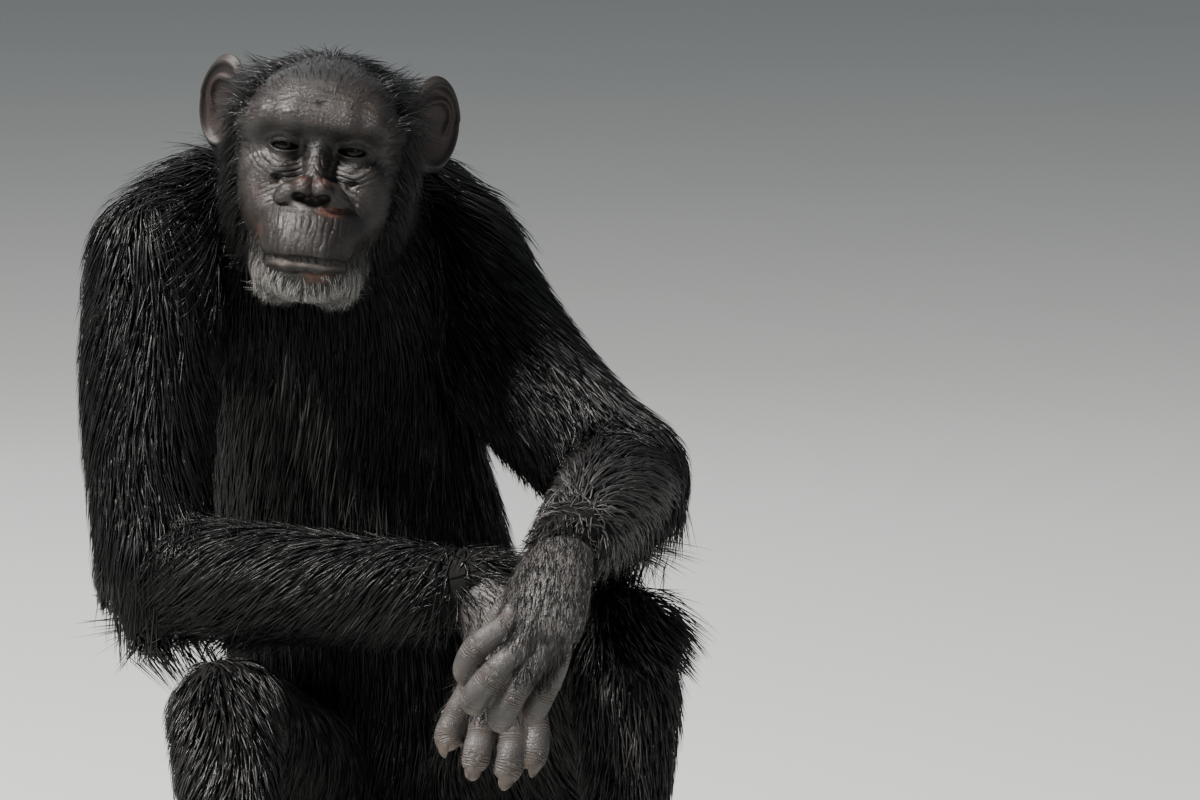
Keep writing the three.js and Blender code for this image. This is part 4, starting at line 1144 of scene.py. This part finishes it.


# %% [markdown]
# ## The coat's finish
# A black hair is glossy along its length, and a tuft shows many of them as fine streaks. The finish reads
# the tuft's own map: noise stretched along it varies the colour, the roughness and the bump. `tone` is how
# grey the tuft is, from black on the body to near white in the beard; along a diagonal across the chest it
# also carries a painted highlight.

# %% Hair finish
hair = Shader("black hair", Specular_IOR_Level=0.42)
strand_place = hair.node("ShaderNodeUVMap", {"uv_map": "Strand"})
streak = hair.noise(hair.scaled(strand_place, (2.2, 0.9, 1.0)), 1.0, 3, 0.6)
grey = hair.attribute("tone")
ramp = hair.node("ShaderNodeValToRGB", {"stops": [
    (0.0, (0.0028, 0.0028, 0.0031)), (0.35, (0.034, 0.032, 0.031)), (0.7, (0.20, 0.19, 0.18)),
    (1.0, (0.62, 0.60, 0.57))]}, {"Fac": (grey + 0.12 * (streak - 0.5)).clamped()})
hair.feeds("Base Color", ramp)
hair.feeds("Roughness", (0.31 + 0.4 * (streak - 0.4) + 0.14 * grey).clamped())
hair.bumped(streak, 0.0007, 0.7)
print("hair finish ready")

# %% [markdown]
# ## The coat of the body
# Each part of the body has its own hair: longest on the back and shoulders, where it also stands off and
# fringes the outline, shorter on the forearms and shins, and greyer toward the left wrist and on the knees.
# A diagonal stripe of paler tufts across the chest is a painted highlight.
# Near the wrists it turns toward the hand. A part's hair is one piece, but the trunk's is four, so that none
# passes the size that an export takes.

# %% Lie, length and greyness by part of the body
STYLES = {  # length, width and lift in mm, droop for each step
    "torso": (78, 2.3, 9, 0.02), "yoke": (80, 2.1, 15, 0.04), "neck": (70, 2.0, 20, 0.02),
    "upper_arm": (68, 2.1, 8, 0.02), "forearm": (48, 1.9, 7, 0.10), "thigh": (50, 2.2, 7, 0.05),
    "shin": (38, 2.0, 6, 0.05),
}
COAT_PER_M2 = 57_000
KNEES = {"thigh_right": "kneeR", "shin_right": "kneeR", "thigh_left": "kneeL", "shin_left": "kneeL"}
NAMES = list(BODY)


def lie_of(name, turn, place):
    """The way the coat lies, before it is laid onto the skin."""
    out, front = np.cos(TAU * turn), np.sin(TAU * turn)
    one = np.ones_like(turn)
    if name == "torso":
        return np.column_stack([0.28 * out, -0.1 * front, -one])
    if name == "yoke":
        return np.column_stack([4.2 * (place - 0.45), mix(0.8, -0.3, rise(-0.1, 0.6, front)), -0.8 * one])
    if name == "neck":
        return np.column_stack([1.3 * out, 0.6 * one, -0.35 * one])
    fixed = {
        "upper_arm_right": (0, 0, -1), "upper_arm_left": (0.55, -0.35, -0.75),
        "forearm_right": (-0.8, -0.05, -0.6), "forearm_left": (0.35, 0.75, -0.5),
        "thigh_right": (-0.1, -0.3, -0.9), "thigh_left": (0.2, -0.2, -0.9),
        "shin_right": (0, -0.2, -1), "shin_left": (0, -0.1, -1),
    }[name]
    return one[:, None] * np.array(fixed, float)


def wandering(p, strength):
    """A soft, seeded sway of the coat that changes slowly over the body."""
    a, b, c = (p[:, k] * 1000 for k in range(3))
    return strength * np.column_stack([
        np.sin(0.021 * b + 0.027 * c + 1.0) + 0.5 * np.sin(0.06 * c + 0.05 * a),
        np.sin(0.024 * a + 0.019 * c + 2.0) + 0.5 * np.sin(0.055 * a + 0.06 * c),
        np.sin(0.022 * a - 0.026 * b + 3.0) + 0.5 * np.sin(0.05 * b - 0.06 * a),
    ])


# Painted highlight: a diagonal line across the front of the chest, near which some tufts are made paler,
# standing for light caught on a fold of the coat.
CHEST_HIGHLIGHT_LINE = (np.array((-0.080, 0.477)), np.array((0.008, 0.341)))
CHEST_HIGHLIGHT_HALF_WIDTH, CHEST_FRONT, KNEE_HEIGHT = 0.02, -0.05, 0.25


def greyness(name, p, place):
    tone = 0.07 * dice.random(len(p)) ** 3
    if name == "torso":
        start, end = CHEST_HIGHLIGHT_LINE
        flat = p[:, [0, 2]]
        t = np.clip((flat - start) @ (end - start) / ((end - start) @ (end - start)), 0, 1)
        off = np.linalg.norm(flat - start - t[:, None] * (end - start), axis=1)
        # Painted highlight: a share of the tufts near the chest's diagonal line is made paler.
        painted_highlight = (off < CHEST_HIGHLIGHT_HALF_WIDTH) & (p[:, 1] < CHEST_FRONT) & (dice.random(len(p)) < 0.45)
        tone += 0.4 * painted_highlight
    if name == "forearm_left":
        tone += rise(0.1, 0.85, place) * dice.uniform(0.14, 0.55, len(p))
    if name == "forearm_right":
        tone += 0.14 * (dice.random(len(p)) < 0.2)
    if name.startswith(("thigh", "shin")):
        knee = rise(0.16, 0.05, np.abs(p[:, 2] - KNEE_HEIGHT))
        tone += 0.3 * knee * (dice.random(len(p)) < 0.45)
    return tone


# %% Growing the body's coat
HEAD_MARGIN, LOWEST_ROOT, HAND_OVERLAP = 2, 6 * MM, 10 * MM
roots, normals = scattered(trunk, COAT_PER_M2)
form_index, _, place, turn = nearest(list(BODY.values()), roots)
buried = (face_field(to_head(roots)) < HEAD_MARGIN) | (roots[:, 2] < LOWEST_ROOT)
for forms in (*HANDS.values(), *FEET.values()):
    buried |= nearest(forms, roots)[1] < -HAND_OVERLAP
front, leftward = np.sin(TAU * turn), np.cos(TAU * turn)


def whole(rows):
    """Takes every root of a form."""
    return np.full(len(rows), True)


PIECES = {
    "coat_chest_right": ("torso", lambda i: (front[i] > 0) & (leftward[i] > 0), ["chest"]),
    "coat_chest_left": ("torso", lambda i: (front[i] > 0) & (leftward[i] <= 0), ["chest"]),
    "coat_back": ("torso", lambda i: (front[i] <= 0) & (place[i] > 0.55), ["chest"]),
    "coat_loins": ("torso", lambda i: (front[i] <= 0) & (place[i] <= 0.55), ["chest", "pelvis"]),
    "coat_shoulders": ("yoke", whole, ["shoulders"]),
    "coat_neck": ("neck", whole, ["neck"]),
}
PIECES.update({f"coat_{name}": (name, whole, [name]) for name in NAMES[3:]})
grown = 0
for coat_name, (name, chosen, nodes) in PIECES.items():
    here = np.flatnonzero((form_index == NAMES.index(name)) & ~buried)
    here = here[chosen(here)]
    p, n, total = roots[here], normals[here], len(here)
    length, width, lift, droop = STYLES[name.replace("_right", "").replace("_left", "")]
    lie = unit(lie_of(name, turn[here], place[here])) + wandering(p, 0.16) + dice.normal(0, 0.11, (total, 3))
    below = rise(0.1, -0.5, n[:, 2])
    lengths = length * MM * dice.uniform(0.7, 1.15, total)
    lifts = lift * MM * dice.uniform(0.35, 1.35, total)
    if name.startswith("forearm"):
        cuff = rise(0.72, 0.88, place[here])
        to_hand = BODY[name].frame(place[here])[1] + dice.normal(0, 0.15, (total, 3))
        tangle = 1.7 * cuff * (1 - cuff)
        lie = mix(lie, to_hand, cuff[:, None]) + tangle[:, None] * dice.normal(0, 1, (total, 3))
        lengths *= (1 - 0.4 * cuff) * mix(0.6, 1, rise(0.05, 0.25, place[here]))
    if name == "forearm_left":
        fringe = below * rise(0.75, 0.45, place[here])
        lengths *= 0.8 + 0.8 * fringe
        lie = mix(lie, np.array((0.1, 0.15, -1)) + dice.normal(0, 0.1, (total, 3)), fringe[:, None])
    if name == "upper_arm_left":
        fringe = below * rise(0.3, 0.6, place[here])
        lengths *= 1 - 0.4 * fringe
        lie = mix(lie, np.array((-0.2, -0.05, -1)) + dice.normal(0, 0.12, (total, 3)), fringe[:, None])
    if name.startswith(("thigh", "shin")):
        off_knee = np.linalg.norm(p - np.array(JOINT[KNEES[name]]) * MM, axis=1)
        lengths *= mix(1, 0.55, rise(0.09, 0.03, off_knee))
    if name.startswith("thigh"):
        crest = rise(0.25, 0.5, place[here]) * rise(0.0, 0.6, n[:, 2])
        most = 32 if name == "thigh_left" else 5
        lifts += most * MM * crest * dice.uniform(0.3, 1.1, total)
        lengths *= 1 + 0.5 * crest
    paths, outs = laid(p, n, lie, lengths, lifts, 3 if length < 60 else 4, droop)
    widths = width * MM * dice.uniform(0.6, 1.15, total)
    if name.startswith("forearm"):
        widths *= 1 - 0.4 * cuff
    spot_on_map = unrolled(np.full(total, NAMES.index(name)), turn[here], place[here])
    mesh = blades(coat_name, paths, outs, widths, greyness(name, p, place[here]), spot_on_map)
    piece(coat_name, mesh, hair.material, nodes)
    grown += total
    print(f"{coat_name}: {total} tufts")
print("tufts on the body:", grown)

# %% [markdown]
# ## Hair of the head
# The crown's hair is swept back and stands up at the sides. Whiskers of the temples and cheeks cover the
# roots of the ears. The forehead's hair is short and sparse, denser toward the hairline and the temples. The
# chin and jaw wear a short white beard from the corners of the mouth. The hairs are much finer here than on
# the body.

# %% Growing the hair of the head
HEAD_CELL, BEARD_CELL = len(NAMES), len(NAMES) + 1


def head_map(cell, q):
    way = unit(q - HEAD_CORE)
    return unrolled(np.full(len(q), cell), np.arctan2(way[:, 2], way[:, 0]) / TAU % 1,
                    np.arccos(np.clip(-way[:, 1], -1, 1)) / math.pi)


def grow_on_head(name, density, keep, lie, length, width, lift, tone, cell, steps=4, droop=0.02):
    """One piece of hair on the head. keep, lie, length and tone are worked out from places on the head."""
    p, n = scattered(head_mesh, density)
    q = to_head(p)
    share = keep(np.abs(q[:, 0]), q[:, 1], q[:, 2])
    bury = BODY["neck"].find(p)[0] < 2 * MM
    for other in ("torso", "yoke"):
        bury |= BODY[other].find(p)[0] < 0
    here = (dice.random(len(p)) < share) & ~bury
    p, n, q = p[here], n[here], q[here]
    total = len(p)
    way = unit(lie(q)) @ HEAD_TURN.T + dice.normal(0, 0.17, (total, 3))
    lengths = length(q) * MM * dice.uniform(0.65, 1.2, total)
    lifts = lift(q) * MM * dice.uniform(0.4, 1.4, total)
    paths, outs = laid(p, n, way, lengths, lifts, steps, droop)
    widths = width * MM * dice.uniform(0.6, 1.2, total)
    mesh = blades(name, paths, outs, widths, tone(q), head_map(cell, q))
    piece(name, mesh, hair.material, ["head"])
    print(f"{name}: {total} tufts")


def on_scalp(x, y, z):
    """Where the head is covered: the back, the crown behind the bald forehead, the temples and the cheeks."""
    back = rise(-30, -8, y - 0.25 * (z - 40))
    hairline = -16 - 46 * np.clip(x / 50, 0, 1) ** 3
    crown = rise(50, 60, z) * rise(-9, 16, y - hairline) * mix(0.45, 1, rise(14, 44, x))
    side = rise(53, 60, x) * rise(-84, -68, y) * rise(-80, -66, z)
    cheek = rise(44, 52, x - 0.25 * (y + 60)) * rise(-14, -30, z) * rise(-88, -76, y)
    jaw = rise(30, 40, x) * rise(-50, -66, z) * rise(-74, -62, y)
    return np.clip(np.where(z > 48, crown, np.maximum.reduce([back, side, cheek, jaw])), 0, 1)


def fluff(q):
    """How far the hair of the head stands off: most at the upper corners, before the ears."""
    x, y, z = np.abs(q[:, 0]), q[:, 1], q[:, 2]
    corner = rise(26, 44, x) * rise(26, 46, z)
    return 11 + 14 * corner * rise(20, -10, y) + 5 * rise(40, 58, x) * rise(20, -10, z)


def swept(q):
    s = np.sign(q[:, 0])
    high = rise(28, 52, q[:, 2])
    behind = rise(-10, 30, q[:, 1])
    side = np.column_stack([0.6 * s, np.full(len(q), 0.5), np.full(len(q), -1.0)])
    outward = s * 1.3 * rise(0, 36, np.abs(q[:, 0]))
    top = np.column_stack([outward, np.full(len(q), 0.8), np.full(len(q), 0.3)])
    return mix(mix(side, top, high[:, None]), side, behind[:, None])


grow_on_head(
    "coat_head", 230_000, on_scalp, swept,
    length=lambda q: mix(36, 50, rise(-20, 40, q[:, 1])), width=0.85, lift=fluff,
    tone=lambda q: 0.08 * dice.random(len(q)) ** 2, cell=HEAD_CELL)

grow_on_head(
    "forehead_hair", 130_000,
    lambda x, y, z: (0.1 + 0.8 * rise(18, 46, x) + 0.3 * rise(62, 70, z)) * rise(50, 62, z)
    + 0.6 * rise(46, 56, x) * rise(-30, 30, z),
    lambda q: np.column_stack([0.8 * q[:, 0] / 40, np.full(len(q), 1.0), np.full(len(q), 0.5)]),
    length=lambda q: np.full(len(q), 15.0), width=0.5, lift=lambda q: np.full(len(q), 2.5),
    tone=lambda q: 0.1 + 0.25 * dice.random(len(q)) ** 2, cell=HEAD_CELL, steps=3)


def on_chin(x, y, z):
    chin = mix(0.55, 1.0, rise(-76, -90, z)) * rise(-69, -76, z) * rise(-30, -50, y)
    jaw = rise(20, 36, x) * rise(-42, -66, z) * rise(-34, -52, y) * rise(-128, -110, y)
    return np.clip(np.maximum(chin, 0.9 * jaw), 0, 1)


def beard_lie(q):
    return np.column_stack([0.3 * np.sign(q[:, 0]), np.full(len(q), -0.1), np.full(len(q), -1.0)])


def beard_tone(q):
    white = rise(-44, -80, q[:, 2])
    return np.clip(mix(0.2, 0.8, white) + dice.normal(0, 0.2, len(q)), 0.05, 1)


grow_on_head(
    "beard", 520_000, on_chin, beard_lie, length=lambda q: mix(24, 10, rise(-80, -112, q[:, 1])), width=0.42,
    lift=lambda q: np.full(len(q), 4.0), tone=beard_tone, cell=BEARD_CELL, steps=3, droop=0.05)

# %% [markdown]
# ## Short hair of hands and feet
# The backs of the hands and the tops of the feet carry short fine hair, with grey in it, which thins out
# over the first joints of the fingers. The palms and soles are bare.

# %% Growing the hair of hands and feet
def short_hair(node, mesh, forms, cell, outward, density, grey_share):
    name = f"hair_{node}"
    p, n = scattered(mesh, density)
    which, _, place, turn = nearest(forms, p)
    ahead = np.zeros_like(p)
    for number, form in enumerate(forms):
        rows = which == number
        if rows.any():
            ahead[rows] = form.frame(place[rows])[1]
    facing = n @ unit(np.array(outward, float))
    share = rise(-0.15, 0.35, facing) * np.where(which == 0, 1.0, 0.5 * rise(0.34, 0.1, place))
    share = np.maximum(share, (which == 0) * rise(0.3, 0.15, place))
    here = dice.random(len(p)) < share
    p, n, total = p[here], n[here], int(here.sum())
    lie = ahead[here] + dice.normal(0, 0.2, (total, 3))
    lengths = 14 * MM * dice.uniform(0.6, 1.3, total) * np.where(which[here] == 0, 1, 0.7)
    paths, outs = laid(p, n, lie, lengths, 1.9 * MM * dice.uniform(0.4, 1.5, total), 3, 0.03)
    tone = 0.68 * grey_share * dice.random(total) ** 2
    spot_on_map = unrolled(cell + which[here], turn[here], place[here])
    made = blades(name, paths, outs, 0.52 * MM * dice.uniform(0.6, 1.2, total), tone, spot_on_map)
    piece(name, made, hair.material, [node])
    print(f"{name}: {total} tufts")


HAIRED = [  # node, mesh, forms, first cell, the way the haired side faces, tufts per square metre, grey
    ("hand_left", hands["left"], HANDS["left"], 13, (0.1, -0.75, 0.6), 240_000, 1.0),
    ("hand_right", hands["right"], HANDS["right"], 19, (-0.3, -0.85, 0.4), 170_000, 0.6),
    ("foot_left", feet["left"], FEET["left"], 25, (0, 0, 1), 80_000, 0.3),
    ("foot_right", feet["right"], FEET["right"], 30, (0, 0, 1), 80_000, 0.3),
]
for row in HAIRED:
    short_hair(*row)
